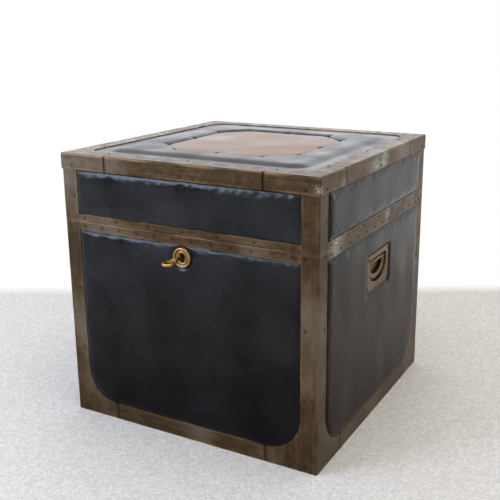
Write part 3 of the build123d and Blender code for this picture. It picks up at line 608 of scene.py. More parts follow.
# Padded ring and brown medallion on the lid
lidTop = {
    "long": 124.0,
    "corner": 82.0,
    "outer": 227.0,
    "leatherLow": 447.0,
    "flat": 448.5,
    "fieldHalf": 181.5,
    "fieldCorner": 26.0,
    "slope": 24.0,
    "rise": 4.0,
    "edge": 450.0,
    "dish": 13.0,
    "crown": 1.8,
    "gap": 0.2,
    "dimple": 1.5,
    "dimpleSize": 8.0,
    # Waves as size, seed and height
    "ringWaves": ((38, 31, 0.15), (120, 32, 0.35)),
    "medallionWave": (90, 41, 0.3),
    "shoulder": 1.2,
    "shoulderReach": 9.0,
    "crownReach": 35.0,
    "rayStep": 0.013,
}
diagonal = lidTop["long"] + lidTop["corner"]
studs = [(way * lidTop["long"], k * lidTop["corner"]) for way in (-1, 1) for k in (-1, 0, 1)]
studs += [(y, x) for x, y in studs]


def octagonDistance(x, y):
    # Distance outside the medallion's eight sides, negative inside them.
    x, y = np.abs(x), np.abs(y)
    return np.maximum(np.maximum(x, y) - lidTop["long"], (x + y - diagonal) / math.sqrt(2))


def topRays():
    # Directions from the middle, with one through every corner of the octagon and the square.
    special = [math.atan2(y, x) for x, y in studs] + [math.radians(a) for a in (45, 135, -135, -45)]
    special = np.unique(np.round(np.array(special) % (2 * math.pi), 9))
    ends = np.append(special[1:], special[0] + 2 * math.pi)
    parts = []
    for a, b in zip(special, ends):
        parts.append(np.linspace(a, b, max(2, math.ceil((b - a) / lidTop["rayStep"])) + 1)[:-1])
    return np.concatenate(parts)


def dimples(x, y):
    # How far the leather is drawn down round each stud, as one bell curve for each.
    return sum(np.exp(-((x - a) ** 2 + (y - b) ** 2) / lidTop["dimpleSize"] ** 2) for a, b in studs)


rays = topRays()
cosine, sine = np.cos(rays), np.sin(rays)
largest = np.maximum(np.abs(cosine), np.abs(sine))
octagonReach = np.minimum(lidTop["long"] / largest, diagonal / (np.abs(cosine) + np.abs(sine)))


def topGrid(inner, outer, steps):
    # Points along each ray, from one distance to another, spaced by steps from 0 to 1.
    reach = inner[:, None] + (outer - inner)[:, None] * steps[None, :]
    return reach * cosine[:, None], reach * sine[:, None]


def paddedRing():
    # Height = flat + a rounded rise inwards from the field's edge, sinking to the medallion's edge.
    s = lidTop
    # Steps are closest at the medallion, then wider, then even out to the edge.
    steps = [np.linspace(0, 0.2, 14)[:-1], np.linspace(0.2, 0.35, 8)[:-1], np.linspace(0.35, 1, 34)]
    steps = np.concatenate(steps)
    x, y = topGrid(octagonReach + s["gap"], s["outer"] / largest, steps)
    inward = -roundedBox(x, y, s["fieldHalf"], s["fieldHalf"], s["fieldCorner"])
    share = np.sin(np.clip(inward / s["slope"], 0, 1) * math.pi / 2) ** 1.15
    inner = np.sin(np.clip(octagonDistance(x, y) / s["dish"], 0, 1) * math.pi / 2)
    foot = s["edge"] - s["flat"]
    height = s["flat"] + foot * (share > 0) + (s["rise"] * share - foot * (share > 0)) * inner
    for size, seed, rise in s["ringWaves"]:
        height = height + waves(x, y, size, seed) * rise * share * inner
    height = height - s["dimple"] * dimples(x, y) * inner
    front = np.stack([x, y, height], -1)
    back = np.stack([x, y, 0 * x + s["leatherLow"]], -1)
    skin = shell(front, back, around=True)
    piece = finishPiece("top_leather_ring_padded", [skin], "black_leather", "lid", ["top_leather_ring"])


def paddedMedallion():
    # Height = edge + a rounded shoulder + a slow crown towards the middle, drawn down at the studs.
    s = lidTop
    steps = np.concatenate([[0.0], np.linspace(0.04, 0.9, 26)[:-1], np.linspace(0.9, 1, 14)])
    x, y = topGrid(0 * octagonReach, octagonReach - s["gap"], steps)
    inward = -octagonDistance(x, y)
    size, seed, rise = s["medallionWave"]
    height = s["edge"] + s["shoulder"] * (bulge(inward, s["shoulderReach"]) - 1)
    height = height + s["crown"] * (1 - np.exp(-inward / s["crownReach"]))
    height = height + waves(x, y, size, seed) * rise * bulge(inward, 30)
    height = height - 0.5 * s["dimple"] * dimples(x, y)
    front = np.stack([x, y, height], -1)
    back = np.stack([x, y, 0 * x + s["leatherLow"]], -1)
    skin = shell(front, back, around=True)
    piece = finishPiece("top_medallion_padded", [skin], "brown_leather", "lid", ["top_medallion"])


paddedRing()
paddedMedallion()
print("top of the lid made")

# Brass sheets, folded round the edges of the trunk
sheets = {
    "postBend": 1.6,
    "rimBend": 1.2,
    "capBend": 2.2,
    "wave": 0.14,
    "waveSize": 48.0,
    "edgeWave": 0.45,
    "edgeWaveSize": 34.0,
    "wearReach": 0.5,
    "bendReach": 1.2,
    "jointReach": 1.4,
    "step": 4.0,
    "acrossStep": 3.0,
    # The first seed of the waves on each kind of sheet
    "seeds": {"bodyPost": 50, "lidPost": 60, "base": 70, "rim": 80, "capCorner": 90, "capStrip": 94},
    # Places that were damp: x, y, z and size
    "damp": [
        (229, -23, 425, 20),
        (229, 13, 438, 16),
        (229, -150, 424, 8),
        (229, -229, 432, 6),
        (228, -172, 340, 18),
        (228, 41, 343, 9),
    ],
}
# A distance in millimetres at which an edge or a bend leaves no wear
far = 1000.0


def fold(distance, radius):
    # A line round a corner, from far out on the first flange (negative) to far out on the second: returns
    # how far it has gone past the corner, how far it is outside the first face, and the normal's parts.
    quarter = radius * math.pi / 4
    t = np.where(np.abs(distance) < radius, distance * quarter / radius, distance)
    t = np.where(np.abs(distance) < radius, t, np.sign(distance) * (quarter + np.abs(distance) - radius))
    turn = np.clip((t + quarter) / radius, 0, math.pi / 2)
    past = -radius + radius * np.sin(turn) + np.minimum(t + quarter, 0)
    out = -radius + radius * np.cos(turn) - np.maximum(t - quarter, 0)
    return past, out, np.sin(turn), np.cos(turn)


def finishSheet(name, skins, body, node, rows, runsUp):
    # Adds a sheet with its marks: wear as noted with each skin, soot and painted shade round nails, and
    # damp in places.
    def marks(points):
        t = trunk
        # A dark halo round each nail: partly soot, partly painted shade of the dent it sits in.
        sootAndShade = np.exp(-((nailDistance(points, rows) / nails["sootAndShadeReach"]) ** 2))
        # Dirt has settled in the joints of the base and of the cap, all at one distance from the middle.
        joint = np.abs(points[:, :2]).min(1) - (t["half"] - t["post"] - t["foot"] - t["footRun"])
        level = (points[:, 2] < t["base"] + 0.5) | (points[:, 2] > t["height"] - t["capSide"] - 0.5)
        sootAndShade = np.maximum(sootAndShade, np.exp(-((joint / sheets["jointReach"]) ** 2)) * level)
        damp = sum(np.exp(-((points - place) ** 2).sum(-1) / size**2) for *place, size in sheets["damp"])
        wear = np.concatenate([np.tile(worn, 2) for points, faces, worn in skins])
        return {"sootAndShade": sootAndShade, "wear": wear, "upright": 0 * wear + runsUp, "damp": np.minimum(damp, 1)}

    finishPiece(name, [skin[:2] for skin in skins], "aged_brass", body, [node], marks)


def metalSkin(front, normal, thick, rows, edge, bend, seed, keep=None):
    # Moves a sheet's face by gentle waves and a dent at each nail. How worn each point is, by its distance
    # to an edge or a bend, goes with the skin's points and faces.
    s = sheets
    near = nailDistance(front.reshape(-1, 3), rows).reshape(front.shape[:2])
    x, y, z = front[..., 0], front[..., 1], front[..., 2]
    shift = waves(x + y, z + x - y, s["waveSize"], seed) * s["wave"]
    shift = shift - nails["dent"] * np.exp(-((near / nails["dentReach"]) ** 2))
    worn = np.maximum(np.exp(-edge / s["wearReach"]), np.exp(-((bend / s["bendReach"]) ** 2)))
    return *shell(front + normal * shift[..., None], front - normal * thick, keep), worn.reshape(-1)


def cornerPost(quarter, rowsZ, widths, seed, rows):
    # One angle round a corner. Each row has its height and how wide the flanges are there.
    s, t = sheets, trunk
    share = np.linspace(0, 1, 15)[1:]
    bend = np.linspace(-1, 1, 7) * s["postBend"]
    # The edges run a little unevenly where no other brass meets them.
    free = (rowsZ > t["base"] + 3) & (rowsZ < t["seam"] - t["bodyRim"] - 3)
    uneven = s["edgeWave"] * 0.5 * free * waves(rowsZ, rowsZ * 0, s["edgeWaveSize"], seed)
    reach = (widths + uneven)[:, None]
    flange = s["postBend"] + (reach - s["postBend"]) * share[None, :]
    distance = np.concatenate([-flange[:, ::-1], bend[None, :] + 0 * reach, flange], 1)
    past, out, nPast, nOut = fold(distance, s["postBend"])
    z = rowsZ[:, None] + 0 * distance
    front = turned(t["half"] + past, -t["half"] - out, z, quarter)
    normal = turned(nPast, -nOut, 0 * z, quarter)
    edge = np.minimum(reach - np.abs(distance), np.minimum(z - rowsZ[0], rowsZ[-1] - z))
    return metalSkin(front, normal, t["brass"], rows, edge, np.abs(distance), seed)


def bodyPosts():
    t = trunk
    turn = np.linspace(0, math.pi / 2, 19)
    low = np.linspace(0, t["base"] - 0.3, 7)
    arc = t["base"] + t["foot"] * (1 - np.cos(turn))
    high = lines(arc[-1], 5, t["seam"] - t["brass"])[1:]
    rowsZ = np.concatenate([low, arc, high])
    wide = t["post"] + t["foot"] + t["footRun"] + 0 * low
    widths = np.concatenate([wide, t["post"] + t["foot"] * (1 - np.sin(turn)), t["post"] + 0 * high])
    for quarter, name in enumerate(["front_right", "back_right", "back_left", "front_left"]):
        skin = cornerPost(quarter, rowsZ, widths, sheets["seeds"]["bodyPost"] + quarter, bodyNails)
        finishSheet(f"{name}_post_sheet", [skin], "trunk_body", f"{name}_post", bodyNails, 1)


def lidPosts():
    s, t = sheets, trunk
    rowsZ = lines(t["seam"] + t["brass"], s["step"], t["height"] - t["cap"])
    widths = t["post"] + 0 * rowsZ
    skins = [cornerPost(q, rowsZ, widths, s["seeds"]["lidPost"] + q, lidNails) for q in range(4)]
    finishSheet("lid_post_sheets", skins, "lid", "lid_posts", lidNails, 1)


def baseStrips():
    s, t = sheets, trunk
    half = t["half"] - t["post"] - t["foot"] - t["footRun"] - t["gap"]
    for side, name in enumerate(sideNames):
        seed = s["seeds"]["base"] + side
        along, up = np.meshgrid(lines(-half, s["step"], half), lines(0, 3.5, t["base"]), indexing="ij")
        lift = waves(along, along * 0, s["edgeWaveSize"], seed) * s["edgeWave"] * up / t["base"]
        front = onSide(side, along, t["half"], up + lift * (1 - np.abs(along / half) ** 8))
        normal = onSide(side, along, t["half"] + 1, up) - onSide(side, along, t["half"], up)
        edge = np.minimum(half - np.abs(along), np.minimum(up, t["base"] - up))
        skin = metalSkin(front, normal, t["brass"], bodyNails, edge, far + edge, seed)
        node = f"{name}_base_strip"
        finishSheet(f"{node}_sheet", [skin], "trunk_body", node, bodyNails, 0)


def rimSkins(side, way, height, rows):
    # A strip folded over the wall's edge at the seam. At each end its level flange goes on over the post,
    # as far as the mitred corner.
    s, t = sheets, trunk
    seed, step = s["seeds"]["rim"] + side, s["step"]
    half = t["half"] - t["post"] - t["gap"]
    alongStops = [-half, step, half]
    if side == 2:
        a, b = t["hinge"] - t["hingeHalf"], t["hinge"] + t["hingeHalf"]
        alongStops = [-half, step, -b, step, -a, step, a, step, b, step, half]
    bend = np.linspace(-1, 1, 7) * s["rimBend"]
    level = -lines(t["wall"], s["acrossStep"], s["rimBend"])[:-1]
    across = np.concatenate([level, bend, lines(s["rimBend"], 2.5, height)[1:]])
    along, distance = np.meshgrid(lines(*alongStops), across, indexing="ij")
    ragged = waves(along, along * 0, s["edgeWaveSize"], seed + way) * s["edgeWave"]
    ragged = ragged * np.clip(distance / height, 0, 1) ** 2 * (1 - np.abs(along / half) ** 8)
    past, out, nPast, nOut = fold(distance + ragged, s["rimBend"])
    front = turned(along, -t["half"] - past, t["seam"] - way * out, side)
    normal = turned(0 * along, -nPast, -way * nOut, side)
    edge = np.minimum(half - np.abs(along), height - distance)
    # At the hinges the outer flange is cut away, and the level one goes on under the leaves.
    middle = np.abs(np.abs((along[:-1, :-1] + along[1:, 1:]) / 2) - t["hinge"])
    keep = (middle > t["hingeHalf"]) | (distance[:-1, :-1] < -s["rimBend"] - 0.01) | (side != 2)
    skins = [metalSkin(front, normal, t["brass"], rows, edge, np.abs(distance), seed, keep)]
    for end in (-1, 1):
        steps = lines(0, s["acrossStep"], t["wall"])
        inward, share = np.meshgrid(steps, np.linspace(0, 1, 9), indexing="ij")
        along = end * (half + (t["half"] - t["gap"] - inward - half) * share)
        front = turned(along, inward - t["half"], t["seam"] + 0 * along, side)
        normal = np.zeros_like(front) + (0, 0, -way)
        skins.append(metalSkin(front, normal, t["brass"], rows, inward, far + inward, seed))
    return skins


def rims():
    t = trunk
    for side, name in enumerate(sideNames):
        node = f"{name}_rim_strip"
        skins = rimSkins(side, -1, t["bodyRim"], bodyNails)
        finishSheet(f"{node}_sheet", skins, "trunk_body", node, bodyNails, 0)
    skins = sum([rimSkins(side, 1, t["lidRim"], lidNails) for side in range(4)], [])
    finishSheet("lid_rim_sheets", skins, "lid", "lid_rim_strips", lidNails, 0)


def capSkin(quarter, outline, inner, outward, seed):
    # From the inner line over the top, round the bend and down the side, for every point of the outline.
    s, t = sheets, trunk
    r = s["capBend"]
    turn = np.linspace(0, math.pi / 2, 7)
    flat = np.linspace(0, 1, 11)[:-1]
    drop = lines(r, s["acrossStep"], t["capSide"])[1:]
    bendEdge = outline - outward * r
    level = inner[:, None] + (bendEdge - inner)[:, None] * flat[None, :, None]
    bent = bendEdge[:, None] + outward[:, None] * (r * np.sin(turn))[None, :, None]
    side = outline[:, None] + 0 * outward[:, None] * drop[None, :, None]
    plan = np.concatenate([level, bent, side], 1)
    top = t["height"] - np.concatenate([0 * flat, r - r * np.cos(turn), drop])
    tilt = np.concatenate([0 * flat, turn, 0 * drop + math.pi / 2])
    z = top[None, :] + 0 * plan[..., 0]
    front = turned(plan[..., 0], plan[..., 1], z, quarter)
    n = outward[:, None] * np.sin(tilt)[None, :, None]
    normal = turned(n[..., 0], n[..., 1], np.cos(tilt)[None, :] + 0 * z, quarter)
    inset = np.linalg.norm(plan - inner[:, None], axis=-1)
    edge = np.minimum(np.where(tilt[None, :] == 0, inset, far), z - t["height"] + t["capSide"])
    bend = np.abs(np.concatenate([20 * (1 - flat), 0 * turn, drop]))[None, :] + 0 * z
    return metalSkin(front, normal, t["cap"], lidNails, edge, bend, seed)


def caps():
    s, t = sheets, trunk
    out = t["half"] + t["cap"]
    inside = out - t["capTop"]
    legEnd = out - t["capLeg"]
    pivot = inside - t["capCorner"]
    r = s["capBend"]
    # Corner piece: a leg along the front, the rounded upright edge, and a leg along the right side.
    x = lines(legEnd, s["step"], pivot, s["step"], out - r)
    turn = np.linspace(0, math.pi / 2, 7)[1:-1]
    leg = np.stack([x, 0 * x - out], -1)
    arc = np.stack([out - r + r * np.sin(turn), -out + r - r * np.cos(turn)], -1)
    outline = np.concatenate([leg, arc, -leg[::-1, ::-1]])
    bent = np.stack([np.sin(turn), -np.cos(turn)], -1)
    outward = np.concatenate([[(0.0, -1.0)] * len(x), bent, [(1.0, 0.0)] * len(x)])
    centre = np.array([pivot, -pivot])
    ray = outline - centre
    onArc = centre + ray / np.linalg.norm(ray, axis=-1)[:, None] * t["capCorner"]
    straight = outline - outward * t["capTop"]
    beyond = (outline[:, 0] < pivot) | (outline[:, 1] > -pivot)
    inner = np.where(beyond[:, None], straight, onArc)
    skins = [capSkin(q, outline, inner, outward, s["seeds"]["capCorner"] + q) for q in range(4)]
    finishSheet("cap_corner_sheets", skins, "lid", "cap_corners", lidNails, 0)
    # Straight strips between the corner pieces
    x = lines(t["capGap"] - legEnd, s["step"], legEnd - t["capGap"])
    outline = np.stack([x, 0 * x - out], -1)
    outward = outline * 0 + (0, -1)
    inner = outline - outward * t["capTop"]
    skins = [capSkin(q, outline, inner, outward, s["seeds"]["capStrip"] + q) for q in range(4)]
    finishSheet("cap_strip_sheets", skins, "lid", "cap_strips", lidNails, 0)


bodyPosts()
lidPosts()
baseStrips()
rims()
caps()
print("brass sheets made")


def nailHeads():
    s = nails
    for name, body, rows in (("body", "trunk_body", bodyNails), ("lid", "lid", lidNails)):
        # Each head sits at the bottom of its dent.
        rows = np.concatenate([rows[:1] - s["dent"] * rows[3:], rows[1:]])
        heads = domes(rows, s["radius"], s["rise"])
        finishPiece(f"{name}_nail_heads", [heads], "dark_nail", body, [f"{name}_nails"])
    x, y = np.array(studs).T
    place = np.stack([x, y, 0 * x + lidTop["edge"] - s["studSunk"]], -1)
    rows = np.stack([place, place * 0 + (1, 0, 0), place * 0 + (0, 1, 0), place * 0 + (0, 0, 1)])
    heads = domes(rows, s["stud"], s["studRise"])
    finishPiece("medallion_studs", [heads], "dark_nail", "lid", ["medallion_nails"])


nailHeads()
print("nails made")

# Flush handles: a bevelled plate with a half-round cup, and a bail like a broad letter D
handle = {
    "middle": 257.5,
    "plateX": 48.5,
    "plateZ": 30.5,
    "plate": 1.8,
    "bevel": 1.3,
    "cupX": 38.7,
    "cupTop": 279.5,
    "cupDrop": 23.5,
    "cupStraight": 11.0,
    "axisZ": 272.5,
    "axisOut": 224.0,
    "floorOut": 219.7,
    "lip": 0.9,
    "wall": 1.2,
    # How the cup's wall curves into its floor: inset from the wall, and height over the floor
    "floorCurve": ((0, 4), (0.3, 2.8), (1.0, 2.1), (2.2, 1.6)),
    "bailX": 31.0,
    "bailDrop": 17.5,
    "bailStraight": 9.0,
    "bandWidth": 8.4,
    "bandThick": 4.8,
    "bar": 3.0,
    "barEnd": 38.4,
}


def cupReach(c, v):
    # How far the half-round outline is along rays from the plate's middle: a flat top, straight sides
    # past the axis, then a half ellipse.
    s = handle
    up = s["axisZ"] - s["cupStraight"] - s["middle"]
    top = np.where(v > 1e-6, (s["cupTop"] - s["middle"]) / np.maximum(v, 1e-6), 1e6)
    side = s["cupX"] / np.maximum(np.abs(c), 1e-6)
    # Where x = tc and z = tv, (x / a) squared + ((z - up) / b) squared = 1.
    a, b = s["cupX"], s["cupDrop"]
    two = (c / a) ** 2 + (v / b) ** 2
    one = -2 * v * up / b**2
    rest = (up / b) ** 2 - 1
    curve = (-one + np.sqrt(one**2 - 4 * two * rest)) / (2 * two)
    straight = np.minimum(top, side)
    return np.where(straight * v > up, straight, curve)


def handlePlate(name, side):
    # Along each ray: back edge, bevel, face, rounded lip, wall and floor, down to the middle of the cup.
    s, t = handle, trunk
    corner = math.atan2(s["plateZ"], s["plateX"])
    corners = [corner, math.pi - corner, math.pi + corner, 2 * math.pi - corner, 2 * math.pi + corner]
    rays = np.concatenate([np.linspace(p, q, 31)[:-1] for p, q in zip(corners, corners[1:])])
    c, v = np.cos(rays), np.sin(rays)
    rim = np.minimum(s["plateX"] / np.maximum(np.abs(c), 1e-6), s["plateZ"] / np.maximum(np.abs(v), 1e-6))
    cup = cupReach(c, v)
    face, base, floor = t["half"] - t["brass"] + s["plate"], t["half"] - t["brass"], s["floorOut"]
    turn = np.linspace(0, math.pi / 2, 5)
    level = rim - s["bevel"]
    steps = [(rim, base), (rim, face - s["bevel"] * 0.6), (level, face)]
    steps += [(level + (cup + s["lip"] - level) * k / 4, face) for k in (1, 2, 3)]
    steps += [(cup + s["lip"] * (1 - math.sin(k)), face - s["lip"] * (1 - math.cos(k))) for k in turn]
    steps += [(cup - inset, floor + rise) for inset, rise in s["floorCurve"]]
    steps += [(cup * k, floor + 1.6 * k**2 - 0.1) for k in (0.8, 0.6, 0.4, 0.2, 0.0)]
    behind = [(rim, base)] * 2 + [(level, base)]
    behind += [(level + (cup + s["wall"] - level) * k / 4, base) for k in (1, 2, 3)]
    behind += [(cup + s["wall"], base)] * 5 + [(cup + s["wall"], floor + 4), (cup + s["wall"], floor + 1)]
    behind += [(cup + s["wall"], floor - s["wall"])] * 2
    behind += [(cup * k, floor - s["wall"]) for k in (0.8, 0.6, 0.4, 0.2, 0.0)]
    grids = []
    for layer in (steps, behind):
        reach = np.stack([a + 0 * rim for a, out in layer], -1)
        out = np.array([out for a, out in layer])[None, :] + 0 * reach
        grids.append(onSide(side, reach * c[:, None], out, s["middle"] + reach * v[:, None]))
    # Painted shade: the cup is darkened most low on its wall, where shade falls, and a little on its floor.
    depth = np.array([out for a, out in steps])
    shade = np.interp(depth, [floor, floor + 1.4, floor + 2.2, face - 0.4, face], [0.1, 0.2, 0.8, 0.3, 0])

    def marks(points):
        sootAndShade = np.tile(np.tile(shade, len(rays)), 2)
        return {"sootAndShade": sootAndShade, "upright": 0 * sootAndShade + 1, "wear": 0 * sootAndShade}

    node = f"{name}_handle_plate"
    skin = shell(*grids, around=True)
    finishPiece(f"{node}_dressed", [skin], "handle_brass", "trunk_body", [node], marks, 50)


def tube(path, across, out, halfWidth, halfThick, squareness):
    # A band carried along a path: its section is a rounded rectangle given by powers of sine and cosine.
    turn = np.linspace(0, 2 * math.pi, 20, endpoint=False)
    w = np.sign(np.cos(turn)) * np.abs(np.cos(turn)) ** squareness * halfWidth
    h = np.sign(np.sin(turn)) * np.abs(np.sin(turn)) ** squareness * halfThick
    rings = path[:, None] + across[:, None] * w[None, :, None] + out[:, None] * h[None, :, None]
    rings = np.concatenate([rings[:1] * 0 + path[:1, None], rings, rings[-1:] * 0 + path[-1:, None]])
    return roundSkin(rings.swapaxes(0, 1))


def bail(name, side):
    # The band runs straight down from the bar, round a half ellipse and straight up again.
    s = handle
    turn = np.linspace(-math.pi / 2, math.pi / 2, 41)
    leg = np.linspace(0, s["bailStraight"], 6)[:-1]
    x = np.concatenate([0 * leg - s["bailX"], s["bailX"] * np.sin(turn), 0 * leg + s["bailX"]])
    drop = np.concatenate([leg, s["bailStraight"] + s["bailDrop"] * np.cos(turn), leg[::-1]])
    path = onSide(side, x, s["axisOut"] + 0 * x, s["axisZ"] - drop)
    length = np.hypot(np.gradient(x), np.gradient(drop))
    across = onSide(side, np.gradient(drop) / length, 0 * x, np.gradient(x) / length)
    out = onSide(side, 0 * x, 1 + 0 * x, 0 * x)
    band = tube(path, across, out, s["bandWidth"] / 2, s["bandThick"] / 2, 0.55)
    ends = np.array([-1, -0.985, 0.985, 1]) * s["barEnd"]
    line = onSide(side, ends, s["axisOut"] + 0 * ends, s["axisZ"] + 0 * ends)
    up = np.array([[0, 0, 0.86], [0, 0, 1], [0, 0, 1], [0, 0, 0.86]])
    outward = onSide(side, 0 * ends, np.array([0.86, 1, 1, 0.86]), 0 * ends)
    bar = tube(line, up, outward, s["bar"], s["bar"], 1.0)
    node = f"{name}_bail"
    finishPiece(f"{node}_dressed", [band, bar], "handle_brass", node, [node], None, 50)


for name, side in (("right", 1), ("left", 3)):
    handlePlate(name, side)
    bail(name, side)
print("handles made")

# Lock plate and key. Distances are out from the leather, and radii from the key's axis.
lock = {
    "height": 306.0,
    "face": 227.0,
    "profile": [
        (3.2, 1.2), (3.6, 1.5), (5.4, 1.5), (7.2, 1.5), (7.8, 2.3), (8.6, 3.0), (9.6, 3.0), (10.4, 2.3),
        (11.0, 1.7), (11.6, 1.9), (12.1, 3.2), (12.7, 4.2), (13.5, 4.6), (14.6, 4.5), (15.3, 3.9),
        (15.7, 2.8), (15.7, 0.0),
    ],
    # Painted shade by radius from the key's axis, from 0 to 1
    "shadeByRadius": [
        (3, 0.8), (5, 0.5), (7.2, 0.7), (8.2, 0), (9.6, 0), (11, 0.9), (12.2, 0.2), (15, 0), (16, 0.2),
    ],
    "segments": 24,
    "slotTurn": 15.0,
    "slotEnd": 7.6,
    "shaft": 2.6,
    "tip": 198.5,
    "collar": [
        (238.0, 2.6), (242.8, 2.6), (243.2, 3.8), (244.2, 4.8), (245.6, 5.2), (247.0, 5.0), (248.0, 4.4),
        (248.6, 4.4), (249.4, 5.0), (250.8, 5.3), (252.2, 5.0), (253.8, 4.0), (254.8, 2.6),
    ],
    "bowOut": 263.4,
    "bow": (7.6, 8.9),
    "wire": 2.3,
    "bit": (-8.5, 208.5, 202.5),
}


def lockPlate():
    # A turned plate: the profile carried round the key's axis, left open at the keyhole.
    s = lock
    half = math.radians(s["slotTurn"])
    rest = np.linspace(half, 2 * math.pi - half, 60)[:-1]
    turn = np.concatenate([np.linspace(-half, half, 5)[:-1], rest])
    radius, out = np.array(s["profile"]).T
    x = radius[None, :] * np.sin(turn)[:, None]
    z = s["height"] - radius[None, :] * np.cos(turn)[:, None]
    front = onSide(0, x, s["face"] + out[None, :] + 0 * x, z)
    back = onSide(0, x, s["face"] + np.minimum(out, 0)[None, :] + 0 * x, z)
    keep = np.ones((len(turn), len(radius) - 1), bool)
    keep[:4] = radius[1:] > s["slotEnd"] + 0.1
    # Painted shade lies in the grooves and round the keyhole, where shade falls.
    shade = np.interp(radius, *np.array(s["shadeByRadius"]).T)

    def marks(points):
        sootAndShade = np.tile(np.tile(shade, len(turn)), 2)
        # A rounded slot of painted shade round the keyhole
        hole = roundedBox(points[:, 0], points[:, 2] - s["height"] + 0.5, 3.6, 7.4, 3.4)
        sootAndShade = np.maximum(sootAndShade, np.clip(1 - hole, 0, 2))
        return {"sootAndShade": sootAndShade, "upright": 0 * sootAndShade, "wear": 0 * sootAndShade}

    skin = shell(front, back, keep, around=True)
    finishPiece("escutcheon_dressed", [skin], "bright_brass", "trunk_body", ["escutcheon"], marks, 50)


def lathe(out, radius, height):
    # A turned shape along the key's axis, closed at both ends.
    turn = np.linspace(0, 2 * math.pi, lock["segments"], endpoint=False)[:, None]
    radius = np.concatenate([[0], radius, [0]])[None, :]
    out = np.concatenate([out[:1], out, out[-1:]])[None, :]
    points = onSide(0, radius * np.sin(turn), out + 0 * turn, height + radius * np.cos(turn))
    return roundSkin(points)


def keyPiece():
    s = lock
    ends = [(s["tip"], s["shaft"] - 0.4), (s["tip"] + 0.4, s["shaft"])]
    out, radius = np.array(ends + s["collar"]).T
    shaft = lathe(out, radius, s["height"])
    # The bow is an oval of round wire, flat on the level plane through the key's axis.
    along = np.linspace(0, 2 * math.pi, 48, endpoint=False)[:, None]
    across = np.linspace(0, 2 * math.pi, 17)[None, :]
    wide, deep = (half + s["wire"] * np.cos(across) for half in s["bow"])
    level = s["height"] + s["wire"] * np.sin(across) + 0 * along
    ring = roundSkin(onSide(0, wide * np.sin(along), s["bowOut"] + deep * np.cos(along), level))
    # Painted shade on the inner side of the bow's wire and in the collar's grooves.
    inside = np.clip(-0.2 - np.cos(across) + 0 * along, 0, 1)
    grooveShade = np.interp(radius, [0, s["shaft"] + 0.1, 4.4, 4.8], [0.8, 0.8, 0.4, 0])
    grooveShade = np.tile(np.concatenate([grooveShade[:1], grooveShade, grooveShade[-1:]]), s["segments"])
    # The bit: a plain block, hidden in the lock.
    left, front, back = s["bit"]
    level = [s["height"] - 1.0, s["height"] + 1.0]
    x, y, z = np.meshgrid([left, 0.0], [-front, -back], level, indexing="ij")
    block = np.stack([x, y, z], -1).reshape(-1, 3)
    sides = np.array([(0, 1, 3, 2), (4, 6, 7, 5), (0, 4, 5, 1), (2, 3, 7, 6), (0, 2, 6, 4), (1, 5, 7, 3)])

    def marks(points):
        sootAndShade = np.concatenate([grooveShade, inside.reshape(-1), np.zeros(8)])
        return {"sootAndShade": sootAndShade, "upright": 0 * sootAndShade, "wear": 0 * sootAndShade}

    finishPiece("key_dressed", [shaft, ring, (block, sides)], "bright_brass", "key", ["key"], marks, 50)


lockPlate()
keyPiece()
print("lock plate and key made")

# Edges of the other CAD pieces are broken a little, as on cut sheet and turned metal
edges = {"width": 0.35, "angle": 30}
for node in frame["nodes"].values():
    if node.hide_render:
        continue
    weld = node.modifiers.new("weld", "WELD")
    weld.merge_threshold = 1e-6
    bevel = node.modifiers.new("edge", "BEVEL")
    bevel.width = edges["width"] * mm
    bevel.segments = 2
    bevel.limit_method = "ANGLE"
    bevel.angle_limit = math.radians(edges["angle"])
    bevel.harden_normals = True
print("edges broken")

# Floor, light and camera, in metres
studio = {
    "loop": 4.0,
    "pile": 2.6,
    "clump": 14.0,
    "carpet": [(0.36, "#d5d3cf"), (0.5, "#e1dfdb"), (0.64, "#eeedeb")],
    "fadeStart": 0.49,
    "fadeEnd": 0.55,
    "floorHalf": 12.0,
    "skyLight": 0.56,
    "lens": 55.89,
    "shift": (-0.042, -0.0437),
    "place": (0.6525, -1.1535, 0.6501),
    "yaw": -28.36,
    "pitch": 14.88,
    "roll": -0.25,
    # Place, target, size, watts and colour
    "lamps": {
        "windowLeft": ((-1.25, -1.75, 1.1), (0, 0, 0.4), (0.8, 1.0), 27, "#c8dcff"),
        "softTop": ((0.4, -0.2, 2.4), (0, 0, 0.4), (2.0, 2.0), 26, "#fff5ea"),
        "softBack": ((-1.3, 2.6, 1.1), (0, 0, 0.45), (2.8, 1.2), 13, "#f4f6ff"),
    },
}


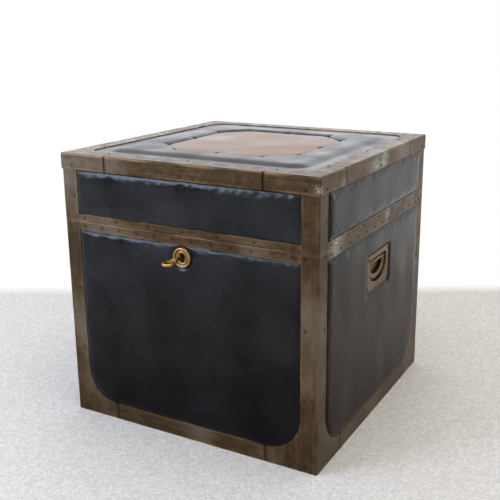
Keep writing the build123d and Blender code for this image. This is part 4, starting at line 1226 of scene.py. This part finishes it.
def makeFloor():
    # Short pale carpet: a random pile in small clumps. Behind the trunk it turns into the white backdrop.
    s = studio
    mesh = bpy.data.meshes.new("floor")
    corners = [(x * s["floorHalf"], y * s["floorHalf"], 0) for x, y in ((-1, -1), (1, -1), (1, 1), (-1, 1))]
    mesh.from_pydata(corners, [], [(0, 1, 2, 3)])
    floor = newObject("floor", mesh)
    m, place = newMaterial("paleCarpet")
    pile = addNode(m, "TexNoise", {"Vector": place, "Scale": 1000 / s["pile"], "Detail": 3.0})
    clump = addNode(m, "TexNoise", {"Vector": place, "Scale": 1000 / s["clump"], "Detail": 3.0})
    loops = addNode(m, "TexVoronoi", {"Vector": place, "Scale": 1000 / s["loop"]})
    # Tone is 30 % each loop's own shade, 50 % pile and 20 % clumps.
    tone = 0.0
    for part, share in ((loops.outputs["Color"], 0.3), (pile, 0.5), (clump, 0.2)):
        tone = addNode(m, "Math", {"operation": "MULTIPLY_ADD", 0: part, 1: share, 2: tone})
    colour = addNode(m, "ValToRGB", {"ramp": s["carpet"], 0: tone})
    height = addNode(m, "Math", {"operation": "SUBTRACT", 0: tone, 1: loops.outputs["Distance"]})
    bump = addNode(m, "Bump", {"Height": height, "Strength": 0.2, "Distance": 2.0 * mm})
    settings = {"Base Color": colour, "Roughness": 0.95, "Specular IOR Level": 0.1, "Normal": bump}
    surface = addNode(m, "BsdfPrincipled", settings)
    # Distance away from the camera along the floor: the place turned by the camera's yaw, then its Y.
    aside = addNode(m, "Mapping", {"Vector": place, "Rotation": (0, 0, math.radians(s["yaw"]))})
    depth = addNode(m, "SeparateXYZ", {0: aside}).outputs["Y"]
    fade = addNode(m, "MapRange", {"Value": depth, "From Min": s["fadeStart"], "From Max": s["fadeEnd"]})
    white = addNode(m, "Emission", {"Strength": 1.0})
    mixed = addNode(m, "MixShader", {0: fade, 1: surface, 2: white})
    addNode(m, "OutputMaterial", {"Surface": mixed})
    mesh.materials.append(m)


def makeWorld():
    # White behind everything that is looked at, reflected or refracted, and a softer light on the rest.
    world = bpy.data.worlds.new("studio")
    bpy.context.scene.world = world
    world.use_nodes = True
    world.node_tree.nodes.clear()
    ray = addNode(world, "LightPath", {}).outputs
    seen = ray["Is Camera Ray"]
    for other in ("Is Glossy Ray", "Is Transmission Ray"):
        seen = addNode(world, "Math", {"operation": "MAXIMUM", 0: seen, 1: ray[other]})
    strength = addNode(world, "MapRange", {"Value": seen, "To Min": studio["skyLight"], "To Max": 1.0})
    back = addNode(world, "Background", {"Color": (1, 1, 1, 1), "Strength": strength})
    addNode(world, "OutputWorld", {"Surface": back})


def areaLamp(name, place, target, size, power, colour):
    lamp = bpy.data.lights.new(name, "AREA")
    lamp.shape = "RECTANGLE"
    lamp.size, lamp.size_y = size
    lamp.energy = power
    lamp.color = hexColour(colour)[:3]
    piece = newObject(name, lamp)
    piece.location = place
    piece.rotation_euler = (Vector(target) - Vector(place)).to_track_quat("-Z", "Y").to_euler()
    piece.visible_camera = False


def makeCamera():
    # Stands in front and to the right, a little above the lid, and looks down at the front corner.
    s = studio
    yaw, pitch = math.radians(s["yaw"]), math.radians(s["pitch"])
    camera = bpy.data.cameras.new("camera")
    camera.sensor_width = 36
    camera.lens = s["lens"]
    camera.shift_x, camera.shift_y = s["shift"]
    piece = newObject("camera", camera)
    piece.location = s["place"]
    look = Vector((math.sin(yaw) * math.cos(pitch), math.cos(yaw) * math.cos(pitch), -math.sin(pitch)))
    roll = Quaternion((0, 0, 1), math.radians(s["roll"]))
    piece.rotation_euler = (look.to_track_quat("-Z", "Y") @ roll).to_euler()
    bpy.context.scene.camera = piece


makeFloor()
makeWorld()
for name, settings in studio["lamps"].items():
    areaLamp(name, *settings)
makeCamera()
bpy.context.scene.view_settings.view_transform = "Standard"
